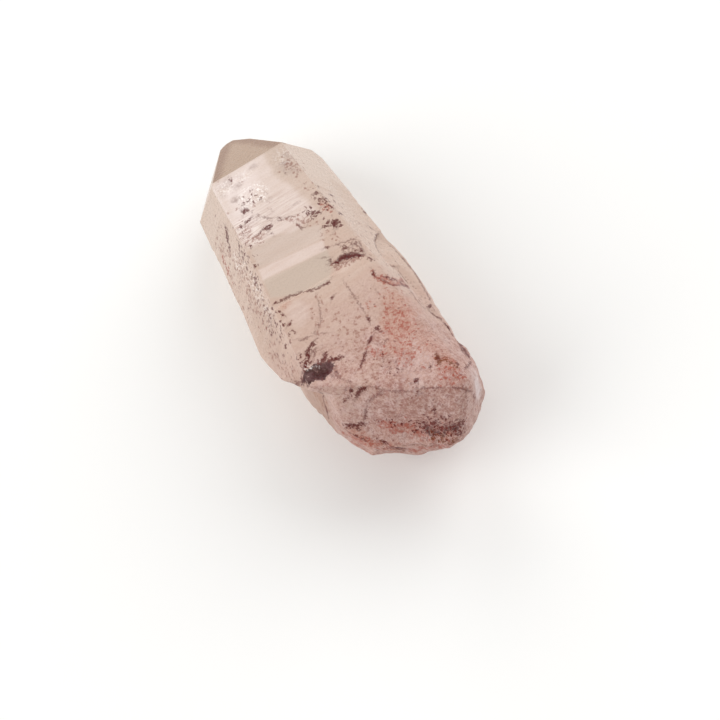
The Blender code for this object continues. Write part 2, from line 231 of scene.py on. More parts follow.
# Iron films, cracks and needles: each was listed one by one, and its places were then laid on the surface.
IRON_FILMS = [
    # half width in mm, then the places that the dark film or crack runs through
    # the long crack across the middle, wide at its left end
    (0.26, [(-14.2, -41.5, 0.3), (-12.9, -41.7, 0.4), (-11.1, -41.6, 0.4), (-9.3, -41.9, 0.4),
           (-6.9, -42.6, 0.4), (-4.1, -44.1, 1.2), (-2.6, -44.6, 1.3), (-0.9, -44.6, 1.3),
           (0.3, -44.5, 1.3), (1.3, -44.2, 1.2)]),
    (0.36, [(-14.2, -41.5, 0.3), (-12.3, -41.6, 0.4)]),
    # blots by the right edge of the upper face
    (0.55, [(9.7, -19.7, 0.6), (10.3, -19.8, 0.5), (11.0, -20.2, 0.5)]),
    (0.5, [(13.4, -19.4, -3.4), (14.0, -19.2, -4.4), (14.4, -19.5, -5.2)]),
    (0.3, [(12.0, -16.8, -1.0), (11.7, -17.8, -0.7)]),
    (0.35, [(9.6, -22.1, 0.6), (9.7, -22.9, 0.7)]),
    (0.35, [(13.5, -21.4, -3.3), (13.3, -22.9, -2.7)]),
    (0.33, [(7.3, -25.8, 0.7), (8.1, -25.1, 0.7), (8.7, -24.6, 0.7)]),
    (0.4, [(12.2, -27.3, -0.4), (12.7, -27.8, -1.1), (13.1, -28.2, -1.9)]),
    # a fine line, and the rims, spot and chip of the right flank
    (0.16, [(1.5, -37.0, 0.6), (2.6, -37.4, 0.6), (4.0, -38.3, 0.5)]),
    (0.18, [(11.8, -37.7, 1.1), (12.4, -38.3, 0.4), (12.2, -40.7, 0.9), (12.0, -43.6, 1.3),
           (12.7, -45.2, 0.6)]),
    (0.25, [(20.2, -29.5, -14.9), (18.6, -31.4, -12.6), (17.3, -33.8, -10.4), (16.3, -37.2, -8.3),
           (15.7, -40.5, -6.8)]),
    (0.2, [(18.1, -26.6, -12.3), (18.6, -28.4, -12.9), (19.6, -29.8, -14.2)]),
    (0.45, [(20.0, -20.9, -15.1), (19.9, -22.4, -14.9)]),
    (0.25, [(11.6, -44.4, 1.3), (11.9, -45.2, 1.4), (13.0, -44.7, 0.0)]),
    # small marks in the middle
    (0.5, [(3.3, -58.1, 1.4), (3.2, -59.2, 1.4), (3.0, -60.2, 1.4)]),
    (0.3, [(3.0, -52.0, 1.4), (3.6, -52.2, 1.4)]),
    (0.33, [(-1.7, -49.6, 1.4), (-1.0, -48.9, 1.4), (-0.3, -48.6, 1.4)]),
    (0.14, [(-4.1, -46.2, 1.3), (-4.4, -48.4, 1.4), (-5.3, -50.4, 1.4), (-6.3, -52.7, 1.4),
           (-7.8, -53.9, 1.4), (-9.0, -54.9, 1.3)]),
    # slanted streaks in the root, and their loop
    (0.6, [(2.8, -62.8, 1.6), (3.6, -62.5, 1.4), (3.6, -63.4, 1.5)]),
    (0.25, [(3.3, -63.0, 1.5), (4.0, -63.8, 1.6), (4.8, -64.5, 1.5)]),
    (0.42, [(2.6, -63.4, 1.7), (1.4, -63.8, 1.7), (0.2, -64.5, 1.6), (-0.8, -65.4, 1.6)]),
    (0.33, [(-0.8, -65.4, 1.6), (-1.8, -66.5, 1.5), (-3.1, -67.7, 1.4), (-4.5, -68.9, 1.4),
           (-5.8, -69.5, 1.7)]),
    (0.17, [(2.4, -65.7, 2.0), (3.4, -65.8, 1.9), (3.9, -66.7, 2.0), (2.8, -67.5, 2.2), (2.1, -66.7, 2.0)]),
    # the broken rim of the right flank
    (0.5, [(17.9, -59.9, -7.5), (18.9, -58.9, -9.1), (19.0, -59.9, -9.2)]),
    (0.22, [(20.4, -33.5, -14.8), (20.8, -36.9, -14.9), (21.1, -41.1, -14.8), (21.2, -45.1, -14.2),
           (20.8, -50.1, -12.9), (20.2, -54.8, -11.4), (19.7, -58.3, -10.4)]),
    (0.3, [(18.9, -63.6, -9.2), (19.4, -65.0, -9.9), (19.4, -66.8, -10.0), (19.6, -68.1, -10.3)]),
    (0.28, [(19.0, -70.3, -9.2), (19.0, -73.3, -8.3), (18.8, -75.9, -7.3), (18.9, -77.5, -7.8)]),
    # the olive mark and its strokes
    (0.3, [(11.6, -76.5, 2.4), (11.3, -77.9, 2.6), (10.4, -79.0, 2.8)]),
    (0.35, [(14.6, -80.5, 1.4), (14.0, -82.3, 3.2)]),
    (0.4, [(8.9, -78.2, 2.8), (8.4, -79.3, 2.9)]),
    (0.25, [(14.9, -83.3, 1.7), (17.0, -80.7, -3.0), (18.7, -78.2, -7.2)]),
    # the trough across the root
    (0.17, [(-10.9, -66.0, 1.3), (-10.2, -68.3, 1.8), (-9.1, -70.3, 2.2), (-7.6, -72.5, 2.4)]),
    (0.16, [(-6.2, -74.2, 2.3), (-4.7, -75.3, 2.1), (-3.1, -76.9, 1.7), (-1.2, -78.7, 1.6),
           (0.4, -80.0, 1.6), (2.5, -81.4, 1.6)]),
    (0.18, [(2.5, -81.3, 1.7), (4.8, -82.2, 2.3), (6.6, -83.6, 2.6), (8.7, -85.5, 3.0)]),
    (0.21, [(8.7, -85.5, 3.0), (10.5, -86.7, 3.0), (11.9, -87.8, 2.6), (13.9, -87.2, -2.3)]),
    (0.25, [(13.9, -87.2, -3.2), (14.2, -86.4, -9.0), (13.2, -87.5, -10.3)]),
    # marks on the broken end
    (0.65, [(3.4, -79.6, 2.1), (4.1, -79.7, 2.2), (4.2, -80.4, 2.3)]),
    (0.3, [(3.9, -80.1, 2.2), (3.3, -81.5, 2.1), (2.6, -82.5, 0.7)]),
    (0.18, [(-7.8, -75.9, -1.9), (-6.8, -76.2, -1.2), (-5.4, -76.7, 0.2), (-4.2, -77.1, 0.7),
           (-2.7, -77.5, 1.4)]),
    (0.3, [(-7.1, -76.1, -1.3), (-6.5, -76.3, -1.0)]),
    (0.22, [(-7.7, -76.1, -2.1), (-8.7, -76.8, -3.6), (-9.6, -77.3, -5.0), (-10.6, -77.6, -7.0)]),
    (0.35, [(-14.8, -75.4, -8.3), (-13.7, -75.9, -7.3), (-12.9, -76.5, -7.3), (-11.9, -77.1, -7.4),
           (-11.2, -77.5, -7.5), (-10.4, -77.9, -7.3)]),
    (0.6, [(4.5, -86.0, -1.6), (4.3, -86.6, -2.3)]),
    (0.5, [(3.9, -86.6, -2.5), (4.2, -87.1, -2.8)]),
    (0.4, [(-9.6, -81.7, -10.5), (-8.9, -82.5, -10.7), (-8.2, -83.4, -11.4)]),
    (0.3, [(-8.2, -83.4, -11.4), (-7.3, -84.3, -12.5), (-6.3, -84.6, -13.5), (-5.4, -84.5, -16.3)]),
    # the left flank, and the lobe below the rim
    (0.3, [(-20.0, -59.1, -5.6), (-19.4, -61.0, -4.3), (-18.6, -62.7, -2.7)]),
    (0.35, [(-13.9, -49.5, 1.3), (-13.0, -49.0, 1.3)]),
    (0.24, [(-17.6, -63.2, -0.9), (-18.8, -61.1, -3.4), (-19.4, -59.3, -4.7)]),
    (0.26, [(-15.7, -68.5, 0.0), (-15.5, -65.3, -8.9), (-15.8, -66.6, -10.1), (-16.1, -67.8, -11.3),
           (-16.9, -67.7, -16.4)]),
    # shell ledges of the right flank
    (0.24, [(19.3, -30.5, -13.8), (17.6, -33.6, -11.0), (16.4, -37.1, -8.5), (15.9, -40.3, -7.2),
           (16.0, -43.0, -7.0), (17.1, -43.7, -8.8), (18.4, -43.6, -11.0)]),
    (0.22, [(18.2, -44.1, -10.6), (18.2, -47.3, -10.1), (18.0, -50.9, -9.3), (17.7, -55.1, -7.9),
           (17.3, -59.4, -6.6)]),
    (0.17, [(16.7, -46.0, -8.0), (16.5, -49.8, -6.8), (16.2, -54.0, -5.4), (16.0, -57.9, -4.5),
           (16.5, -60.7, -5.3), (17.1, -62.1, -6.4)]),
    (0.26, [(17.5, -60.1, -6.9), (18.3, -61.6, -8.2), (19.2, -63.6, -9.5), (19.2, -67.1, -9.8)]),
    (0.26, [(19.2, -67.1, -9.8), (19.1, -70.7, -9.2), (18.3, -75.2, -6.7), (18.4, -78.2, -6.5)]),
    # the zigzag and dots in the etched field
    (0.36, [(-8.0, -12.0, 0.4), (-7.8, -12.8, 0.3), (-7.5, -13.4, 0.3), (-8.2, -14.0, 0.4)]),
    (0.34, [(-7.1, -12.1, 0.3), (-6.7, -12.6, 0.3), (-6.6, -13.4, 0.3), (-7.3, -13.8, 0.4)]),
    (0.3, [(-5.3, -10.4, 0.3), (-5.0, -11.5, 0.3)]),
    (0.2, [(-7.4, -11.4, 0.3), (-6.8, -10.9, 0.3)]),
    (0.34, [(-2.2, -12.3, 0.3), (-2.2, -12.7, 0.3)]),
    (0.24, [(-0.2, -11.1, 0.3), (-0.1, -11.4, 0.3)]),
    (0.24, [(6.8, -8.9, 0.3), (6.8, -9.4, 0.3)]),
    # streaks, ring and chain below the field
    (0.5, [(-10.7, -16.9, 0.4), (-10.2, -16.8, 0.4), (-9.6, -16.9, 0.4)]),
    (0.34, [(-9.8, -17.0, 0.4), (-8.5, -16.3, 0.4), (-7.1, -16.1, 0.4), (-5.8, -15.7, 0.4)]),
    (0.22, [(-5.8, -15.6, 0.4), (-5.1, -15.9, 0.4), (-4.8, -16.8, 0.5), (-5.5, -17.0, 0.5),
           (-5.9, -16.2, 0.4)]),
    (0.2, [(-4.7, -16.7, 0.5), (-4.3, -17.5, 0.5), (-3.6, -18.7, 0.5), (-2.1, -19.5, 0.5),
           (-1.5, -19.8, 0.6)]),
    (0.3, [(-1.8, -19.8, 0.6), (-0.8, -20.4, 0.6), (-0.9, -21.2, 0.6), (-1.5, -21.3, 0.6),
           (-1.5, -20.6, 0.6)]),
    (0.2, [(-0.6, -20.7, 0.6), (0.5, -21.6, 0.6), (1.9, -22.0, 0.6), (3.0, -22.4, 0.7)]),
    (0.4, [(-6.8, -21.3, 0.6), (-5.6, -21.1, 0.6), (-4.5, -21.0, 0.6), (-3.4, -20.5, 0.6)]),
    (0.2, [(-5.1, -21.4, 0.6), (-5.1, -22.3, 0.6)]),
    (0.24, [(-5.3, -23.2, 0.6), (-4.7, -23.4, 0.7), (-4.6, -24.1, 0.7)]),
    (0.1, [(-9.6, -21.2, 0.6), (-7.7, -21.5, 0.6), (-6.4, -21.6, 0.6)]),
    # dashes, a loop and a hook
    (0.17, [(3.1, -19.4, 0.6), (4.3, -19.3, 0.6), (5.3, -19.3, 0.6)]),
    (0.16, [(-1.8, -16.5, 0.5), (-1.5, -17.3, 0.5)]),
    (0.2, [(2.3, -23.8, 0.7), (1.9, -24.8, 0.7), (2.2, -26.8, 0.6), (3.3, -27.2, 0.6), (4.2, -26.6, 0.7)]),
    (0.32, [(5.7, -29.9, 0.6), (6.9, -29.7, 0.7), (8.0, -30.4, 0.8), (9.1, -30.6, 0.9)]),
    # knots by the right edge
    (0.5, [(8.5, -30.7, 0.9), (9.4, -30.3, 0.9), (10.4, -30.3, 0.9), (10.6, -31.2, 0.9)]),
    (0.3, [(9.6, -30.0, 0.9), (9.5, -31.1, 0.9), (8.8, -32.0, 0.9)]),
    (0.2, [(10.0, -30.9, 0.9), (9.4, -32.2, 1.0), (8.3, -32.9, 0.9)]),
    # lines over the lens-shaped mark, and its loops
    (0.3, [(3.7, -35.2, 0.6), (4.8, -35.5, 0.7), (5.9, -36.0, 0.8)]),
    (0.2, [(5.7, -35.9, 0.8), (6.8, -36.3, 0.9), (8.3, -36.8, 1.0), (9.8, -37.3, 1.1), (10.9, -37.4, 1.1),
           (12.0, -38.0, 1.1), (12.6, -38.0, 0.0)]),
    (0.4, [(2.8, -39.7, 0.5), (4.0, -40.2, 0.5), (5.1, -40.7, 0.6), (6.3, -41.2, 0.7)]),
    (0.36, [(4.9, -40.1, 0.5), (5.8, -40.2, 0.7), (7.1, -40.9, 0.9), (8.3, -41.6, 1.1), (9.6, -42.2, 1.3),
           (10.7, -42.9, 1.3), (11.7, -43.7, 1.3)]),
    (0.3, [(4.8, -40.2, 0.5), (5.6, -39.8, 0.7), (6.8, -39.9, 0.8), (7.6, -40.2, 1.0), (8.6, -40.5, 1.1),
           (9.6, -41.2, 1.2), (10.7, -42.4, 1.3)]),
    (0.3, [(3.0, -39.7, 0.5), (3.6, -39.2, 0.5), (3.8, -40.0, 0.5)]),
    (0.32, [(6.8, -39.4, 0.9), (7.9, -38.2, 1.0), (8.8, -38.9, 1.1), (8.4, -40.3, 1.1)]),
    (0.28, [(9.7, -39.8, 1.2), (10.4, -38.7, 1.1), (11.2, -38.7, 1.1), (11.3, -39.8, 1.2),
           (11.5, -40.9, 1.2), (11.6, -41.7, 1.2), (10.9, -41.6, 1.2), (10.2, -40.7, 1.2)]),
    (0.22, [(10.5, -39.7, 1.2), (11.0, -39.9, 1.2), (10.8, -40.4, 1.2)]),
    (0.12, [(2.0, -41.1, 0.4), (4.1, -41.4, 0.4), (5.6, -41.9, 0.6), (7.4, -42.6, 1.1), (8.9, -43.1, 1.3)]),
    # the thick end of the crack
    (0.56, [(-1.4, -44.6, 1.3), (-0.4, -44.6, 1.3), (0.4, -44.5, 1.3), (0.9, -44.3, 1.2)]),
    # the red-brown branching mark
    (0.36, [(10.6, -47.6, 1.5), (10.7, -48.4, 1.5), (10.1, -49.6, 1.5), (10.4, -50.9, 1.5)]),
    (0.22, [(10.4, -50.9, 1.5), (11.2, -52.0, 1.5), (12.0, -53.1, 1.5), (12.8, -54.3, 1.3),
           (14.2, -53.8, -1.7), (15.5, -53.3, -4.0), (16.6, -52.9, -6.4)]),
    (0.2, [(14.4, -53.8, -2.0), (16.1, -50.6, -5.9), (16.4, -51.4, -6.4), (16.6, -52.9, -6.4)]),
    # fine cracks, and the fork over the dark patch
    (0.17, [(3.4, -46.6, 1.3), (3.4, -48.8, 1.4), (3.4, -51.5, 1.4), (3.4, -53.5, 1.4), (3.4, -55.7, 1.4),
           (3.3, -58.0, 1.4)]),
    (0.12, [(8.4, -52.5, 1.6), (8.6, -54.4, 1.6), (8.9, -56.0, 1.5)]),
    (0.2, [(-13.8, -53.6, 1.3), (-13.3, -53.8, 1.3), (-13.0, -54.5, 1.3), (-12.3, -54.8, 1.3),
           (-11.5, -54.8, 1.3), (-10.3, -54.9, 1.3), (-9.4, -55.3, 1.3)]),
    (0.2, [(-8.1, -54.8, 1.3), (-8.9, -55.2, 1.3), (-9.1, -56.0, 1.3)]),
    (0.16, [(-8.4, -53.6, 1.4), (-9.2, -55.0, 1.3), (-9.3, -55.8, 1.3)]),
    (0.15, [(-8.7, -55.4, 1.3), (-7.6, -56.1, 1.3), (-6.3, -56.7, 1.4)]),
    # flames over the dark patch, its wedge and rims
    (0.36, [(-9.3, -56.2, 1.3), (-10.8, -56.9, 1.2), (-12.1, -57.4, 1.2), (-12.9, -58.2, 1.2),
           (-13.7, -59.4, 1.2), (-14.0, -60.7, 1.2)]),
    (0.24, [(-9.9, -58.5, 1.2), (-11.2, -58.5, 1.2), (-12.2, -58.8, 1.2), (-13.1, -59.8, 1.2)]),
    (0.22, [(-10.1, -59.4, 1.2), (-11.2, -59.3, 1.2), (-12.1, -59.8, 1.2), (-13.0, -60.9, 1.1)]),
    (0.34, [(-9.7, -60.7, 1.3), (-9.8, -61.6, 1.3), (-10.8, -61.9, 1.2), (-12.0, -61.7, 1.2)]),
    (0.22, [(-10.3, -60.0, 1.2), (-10.1, -60.8, 1.3), (-10.7, -61.4, 1.2)]),
    (0.34, [(-6.2, -64.3, 1.4), (-7.4, -64.0, 1.4), (-8.3, -63.7, 1.4), (-9.2, -63.6, 1.4),
           (-10.1, -63.3, 1.3)]),
    (0.26, [(-16.6, -62.1, 0.4), (-15.7, -61.4, 1.3), (-14.7, -60.3, 1.3), (-13.8, -59.1, 1.2)]),
    (0.14, [(-15.4, -57.4, 1.4), (-14.7, -57.3, 1.3), (-14.2, -57.8, 1.3)]),
    (0.24, [(-11.4, -65.7, 1.3), (-11.1, -67.2, 1.5), (-11.9, -67.8, 1.5)]),
    (0.15, [(-10.2, -65.7, 1.4), (-9.6, -68.1, 1.8), (-9.2, -70.3, 2.2)]),
    # slashes in the root, and the top of the lens-shaped mark
    (0.52, [(-9.5, -74.0, -1.1), (-8.3, -74.1, 0.8), (-7.1, -74.2, 1.8), (-6.2, -74.5, 2.2),
           (-5.3, -74.4, 2.2)]),
    (0.38, [(-8.8, -72.2, 2.4), (-9.4, -72.9, 1.3), (-10.2, -73.1, 0.2)]),
    (0.3, [(-12.1, -72.5, -2.2), (-11.0, -72.8, -1.3)]),
    (0.22, [(-10.8, -72.1, 0.9), (-10.0, -72.0, 1.8)]),
    (0.2, [(9.4, -38.7, 1.1), (10.3, -38.3, 1.1), (11.1, -38.2, 1.1)]),
]
RUST_FILMS = [
    (0.3, [(10.6, -47.6, 1.5), (10.3, -48.9, 1.5), (10.1, -50.0, 1.5), (10.5, -51.2, 1.5)]),
    (0.42, [(10.5, -51.2, 1.5), (11.1, -52.5, 1.5), (11.9, -53.6, 1.5), (12.6, -54.7, 1.5),
           (13.8, -53.9, -0.8)]),
    (0.35, [(13.8, -53.9, -0.8), (15.3, -51.7, -3.9), (16.6, -49.4, -7.2), (16.1, -51.5, -5.7),
           (16.6, -52.8, -6.5)]),
    (0.17, [(11.1, -52.5, 1.5), (12.0, -51.9, 1.5)]),
    (0.17, [(12.1, -53.7, 1.5), (13.2, -52.6, 0.4)]),
    (0.17, [(12.8, -54.8, 1.3), (12.5, -56.0, 1.5)]),
    (0.3, [(-15.0, -75.4, -9.4), (-14.5, -76.2, -11.1), (-13.9, -77.3, -13.2)]),
    (0.35, [(-13.9, -77.3, -13.2), (-13.3, -78.5, -13.6), (-12.5, -79.8, -12.9)]),
    (0.25, [(-15.1, -75.1, -16.8), (-14.2, -77.1, -16.1), (-13.4, -78.3, -16.1)]),
    (0.3, [(1.8, -88.5, -8.4), (0.9, -89.6, -9.5), (1.0, -89.4, -12.9)]),
    (0.3, [(3.4, -90.4, -8.5), (3.9, -91.6, -9.3), (4.2, -92.3, -11.4)]),
    (0.35, [(-7.3, -79.5, -6.0), (-6.2, -80.6, -6.6), (-4.9, -82.0, -7.4), (-3.3, -83.0, -7.1),
           (-1.2, -84.2, -6.4)]),
    (0.3, [(-6.6, -81.4, -8.1), (-5.1, -82.8, -8.5), (-3.2, -84.2, -8.5)]),
    (0.4, [(-3.6, -85.8, -16.2), (-3.4, -85.9, -18.6)]),
    (0.35, [(-7.6, -84.1, -11.8), (-6.6, -84.3, -14.6), (-5.0, -84.5, -17.5)]),
    (0.3, [(-2.2, -87.2, -13.3), (-1.1, -88.0, -13.1)]),
    (0.2, [(4.9, -55.1, 1.5), (4.5, -56.7, 1.5)]),
]
NEEDLE_TUFTS = [
    # from, to, scatter, how many, a usual needle, half width, and 0 black, 1 rust, 2 olive, 3 faint
    # the left flank
    ((-13.5, -12.1, -3.0), (-15.7, -16.0, -6.5), 0.9, 26, (-0.1, -1.2, 0.0), 0.24, 0),
    ((-15.8, -11.6, -7.3), (-15.9, -24.8, -5.3), 2.9, 50, (-0.1, -0.9, 0.0), 0.2, 3),
    ((-13.1, -20.9, -1.1), (-15.0, -36.4, -1.7), 2.5, 60, (-0.1, -1.0, 0.0), 0.17, 0),
    ((-15.8, -20.8, -5.8), (-17.7, -39.2, -5.8), 3.6, 80, (-0.1, -0.8, 0.0), 0.2, 3),
    ((-16.5, -37.9, -4.0), (-15.4, -52.4, 0.9), 3.2, 60, (0.0, -0.9, 0.2), 0.18, 0),
    ((-20.1, -45.4, -8.4), (-19.2, -61.0, -4.0), 3.2, 50, (0.1, -0.8, 0.3), 0.19, 3),
    # the right edge of the upper face, and the lens-shaped mark
    ((5.4, -21.7, 0.6), (7.2, -26.5, 0.7), 1.4, 20, (-0.9, -1.0, 0.0), 0.17, 0),
    ((1.9, -23.2, 0.7), (6.5, -27.7, 0.7), 1.6, 18, (0.3, -1.2, 0.0), 0.14, 3),
    ((10.0, -20.7, 0.6), (12.1, -27.6, -0.2), 1.8, 22, (0.1, -1.0, 0.0), 0.22, 0),
    ((8.1, -30.5, 0.8), (11.1, -31.0, 0.9), 1.1, 18, (0.9, 0.4, 0.0), 0.25, 0),
    ((5.6, -31.3, 0.6), (8.4, -35.8, 1.0), 1.4, 14, (0.8, -0.1, 0.1), 0.14, 3),
    ((5.3, -40.1, 0.6), (10.3, -42.5, 1.3), 0.5, 34, (0.8, -0.4, 0.2), 0.13, 0),
    ((9.7, -38.7, 1.1), (11.4, -41.7, 1.2), 0.9, 8, (0.1, -0.5, 0.0), 0.12, 0),
    ((3.4, -41.5, 0.4), (7.7, -43.2, 1.2), 0.9, 16, (1.1, -0.1, 0.2), 0.16, 3),
    # the etched field and its streaks
    ((-7.7, -10.1, 0.3), (-6.8, -15.3, 0.4), 1.1, 8, (0.1, -0.6, 0.0), 0.13, 0),
    ((-7.5, -21.2, 0.6), (-3.3, -21.0, 0.6), 0.9, 10, (1.2, 0.1, 0.0), 0.16, 0),
    ((9.2, -7.2, 0.2), (10.0, -11.4, 0.3), 1.8, 12, (0.2, -0.6, 0.0), 0.14, 3),
    # round the dark patch, and the middle
    ((-10.6, -63.0, 1.2), (-6.9, -64.1, 1.4), 0.9, 10, (0.9, -0.3, 0.0), 0.14, 0),
    ((-17.5, -62.5, -1.0), (-11.8, -67.2, 1.4), 0.9, 10, (0.4, -0.6, -0.1), 0.16, 0),
    ((-3.7, -46.5, 1.3), (-7.4, -55.2, 1.4), 1.8, 12, (-0.4, -1.1, 0.0), 0.13, 3),
    ((-2.5, -55.4, 1.5), (-0.5, -67.3, 1.7), 4.3, 80, (0.1, -0.5, 0.0), 0.2, 3),
    ((-1.3, -65.9, 1.5), (1.2, -69.3, 2.1), 1.2, 16, (0.7, -0.1, 0.1), 0.2, 1),
    # rust worms, and the branching mark
    ((8.1, -59.1, 1.4), (6.6, -70.1, 1.8), 3.2, 60, (0.1, -0.7, 0.0), 0.14, 1),
    ((5.0, -69.2, 2.1), (7.6, -75.9, 2.5), 3.2, 40, (0.2, -0.6, 0.0), 0.16, 1),
    ((10.3, -51.0, 1.5), (16.7, -52.9, -6.6), 0.4, 64, (-0.5, -1.4, 1.0), 0.17, 1),
    # the root and the trough
    ((9.3, -81.1, 3.1), (12.7, -85.9, 3.2), 2.5, 40, (0.2, -0.6, 0.0), 0.16, 1),
    ((-7.0, -68.3, 1.8), (4.6, -84.5, -0.1), 5.7, 120, (0.2, -0.5, 0.0), 0.2, 3),
    ((-2.6, -77.4, 1.6), (13.0, -88.5, 2.2), 0.9, 26, (0.6, -0.5, 0.1), 0.15, 3),
    # the broken end
    ((0.0, -85.6, -7.5), (8.0, -91.4, -6.2), 2.1, 230, (0.2, -0.4, -0.2), 0.15, 0),
    ((2.0, -89.1, -8.7), (5.1, -92.6, -9.6), 1.4, 40, (-0.2, -0.6, -0.7), 0.14, 2),
    ((1.6, -85.4, -4.7), (5.7, -88.7, -3.8), 1.1, 20, (-0.1, -0.3, -0.7), 0.13, 0),
    ((-7.8, -79.6, -7.0), (-0.5, -85.5, -7.7), 1.6, 60, (0.7, -0.6, -0.1), 0.18, 1),
    ((-15.6, -74.2, -13.4), (-12.3, -80.1, -11.6), 1.2, 30, (0.4, -0.7, -0.1), 0.19, 1),
    ((-14.8, -75.3, -7.9), (-10.3, -78.0, -7.4), 1.0, 24, (0.6, -0.2, 0.2), 0.22, 0),
    ((-11.9, -72.6, -2.1), (-10.6, -72.8, -0.6), 0.4, 3, (0.5, 0.0, 0.4), 0.12, 0),
    ((-9.4, -81.9, -10.6), (-5.0, -84.6, -17.1), 0.9, 22, (0.5, -0.6, -0.3), 0.18, 2),
    ((-5.0, -85.6, -12.5), (1.8, -90.1, -12.6), 1.4, 26, (0.6, -0.3, -0.3), 0.15, 2),
    ((-16.6, -63.8, -11.5), (-15.4, -73.8, -8.9), 2.5, 24, (0.1, -0.6, 0.4), 0.16, 3),
    ((-5.4, -78.2, -1.9), (8.9, -89.8, -2.4), 3.2, 70, (0.0, -0.3, -0.3), 0.2, 3),
    # the flanks and rims, and fainter tufts among the others
    ((19.4, -65.8, -10.0), (18.9, -77.2, -7.8), 0.7, 26, (-0.1, -1.4, 0.6), 0.2, 0),
    ((10.0, -23.4, 0.7), (11.2, -26.6, 0.8), 1.1, 16, (0.2, -0.7, 0.0), 0.25, 1),
    ((13.4, -32.0, -1.8), (11.9, -59.2, 1.5), 2.9, 30, (0.0, -0.7, 0.2), 0.13, 3),
    ((-18.0, -13.2, -11.0), (-19.2, -21.2, -11.6), 0.9, 22, (0.0, -1.0, 0.1), 0.22, 1),
    ((-0.4, -85.9, -8.2), (8.2, -91.7, -7.1), 2.5, 130, (0.2, -0.3, -0.2), 0.14, 1),
    ((-16.7, -7.5, -9.3), (-21.8, -35.6, -13.5), 3.2, 60, (-0.1, -0.9, 0.1), 0.17, 3),
    ((-4.7, -7.0, 0.2), (-2.1, -12.9, 0.4), 1.8, 10, (0.1, -0.5, 0.0), 0.12, 0),
    ((8.9, -4.9, 0.1), (9.9, -18.3, 0.5), 2.5, 16, (0.1, -0.5, 0.0), 0.15, 3),
    ((10.0, -55.9, 1.5), (8.0, -69.4, 1.6), 4.3, 80, (0.1, -0.6, 0.0), 0.14, 1),
    ((-6.1, -78.9, -3.5), (0.7, -85.0, -5.4), 2.9, 50, (0.3, -0.3, -0.2), 0.18, 3),
    ((-15.0, -75.3, -15.9), (-2.4, -86.6, -17.8), 2.1, 50, (0.4, -0.4, -0.2), 0.17, 3),
    ((6.2, -90.0, -5.4), (7.2, -92.3, -9.3), 1.8, 40, (0.2, -0.4, -0.3), 0.13, 0),
    # the bush and haze over the dark patch
    ((-17.9, -62.5, -1.7), (-14.6, -60.8, 1.2), 0.8, 22, (0.5, 0.0, 0.7), 0.16, 0),
    ((-14.0, -60.7, 1.2), (-9.6, -63.2, 1.3), 0.6, 18, (0.7, 0.3, 0.0), 0.15, 0),
    ((-15.4, -60.9, 1.3), (-13.0, -58.8, 1.2), 0.6, 12, (0.5, 0.4, 0.0), 0.14, 0),
    ((-17.9, -63.0, -1.4), (-12.1, -66.7, 1.3), 0.6, 18, (0.4, -0.5, -0.1), 0.16, 0),
    ((-15.2, -56.0, 1.4), (-16.4, -62.6, 1.1), 1.6, 16, (0.4, 0.0, 0.3), 0.12, 0),
    ((-10.0, -64.8, 1.3), (-9.9, -68.8, 1.9), 0.9, 34, (0.3, -0.8, 0.1), 0.13, 3),
    # the lens-shaped and branching marks again
    ((3.0, -40.6, 0.5), (9.6, -42.9, 1.3), 0.9, 46, (0.6, -0.2, 0.1), 0.15, 3),
    ((10.7, -51.4, 1.5), (16.5, -52.7, -6.3), 0.3, 26, (-0.3, -0.9, 0.6), 0.13, 0),
    # the olive mark, the field and the low rim
    ((11.7, -76.4, 2.4), (10.5, -79.2, 2.8), 0.4, 26, (-0.2, -0.7, 0.1), 0.2, 2),
    ((10.4, -80.6, 3.1), (13.4, -86.4, 3.2), 2.1, 36, (0.2, -0.5, 0.0), 0.14, 3),
    ((-11.0, -16.6, 0.4), (-9.0, -24.1, 0.7), 1.8, 14, (3.5, -0.6, 0.0), 0.08, 3),
    ((-5.5, -0.8, 0.0), (-2.8, -14.2, 0.4), 3.2, 14, (0.1, -0.4, 0.0), 0.1, 3),
    ((-14.1, -76.9, -10.0), (-7.7, -83.8, -13.6), 1.4, 60, (0.3, -0.5, -0.2), 0.15, 1),
    ((-6.4, -83.5, -18.7), (3.2, -91.8, -11.0), 1.4, 80, (0.5, -0.1, -1.0), 0.15, 1),
    # beads and small ticks
    ((-11.1, -62.0, 1.2), (-9.0, -61.0, 1.3), 0.6, 14, (0.5, 0.2, 0.0), 0.15, 0),
    ((-9.5, -63.4, 1.4), (-6.4, -64.3, 1.4), 0.4, 12, (0.4, 0.0, 0.0), 0.16, 0),
    ((11.7, -53.0, 1.5), (14.1, -54.0, -1.5), 0.7, 26, (0.1, -0.6, 0.0), 0.14, 1),
    ((-10.2, -12.0, 0.4), (-7.6, -23.7, 0.6), 2.1, 14, (0.2, -0.5, 0.0), 0.1, 3),
    ((-5.9, -0.9, 0.0), (-6.0, -2.4, 0.1), 0.4, 5, (-0.1, -0.7, 0.0), 0.14, 0),
    ((0.4, -21.7, 0.6), (2.1, -24.0, 0.7), 0.5, 10, (0.2, -0.5, 0.0), 0.13, 3),
    ((8.4, -7.0, 0.2), (9.9, -10.5, 0.3), 1.2, 26, (0.1, -0.5, 0.0), 0.12, 3),
    ((13.0, -5.3, -3.8), (11.0, -12.1, 0.4), 0.4, 7, (0.1, -0.3, -0.2), 0.16, 3),
    ((11.6, -44.3, 1.3), (12.8, -45.3, 0.3), 0.2, 5, (0.2, -0.4, 0.0), 0.16, 0),
    # the teeth of the olive comb
    ((12.0, -78.1, 2.7), (11.8, -78.5, 2.7), 0.1, 2, (-0.8, -1.4, 0.2), 0.13, 2),
    ((12.4, -78.8, 2.8), (12.2, -79.2, 2.8), 0.1, 2, (-0.6, -1.2, 0.2), 0.13, 2),
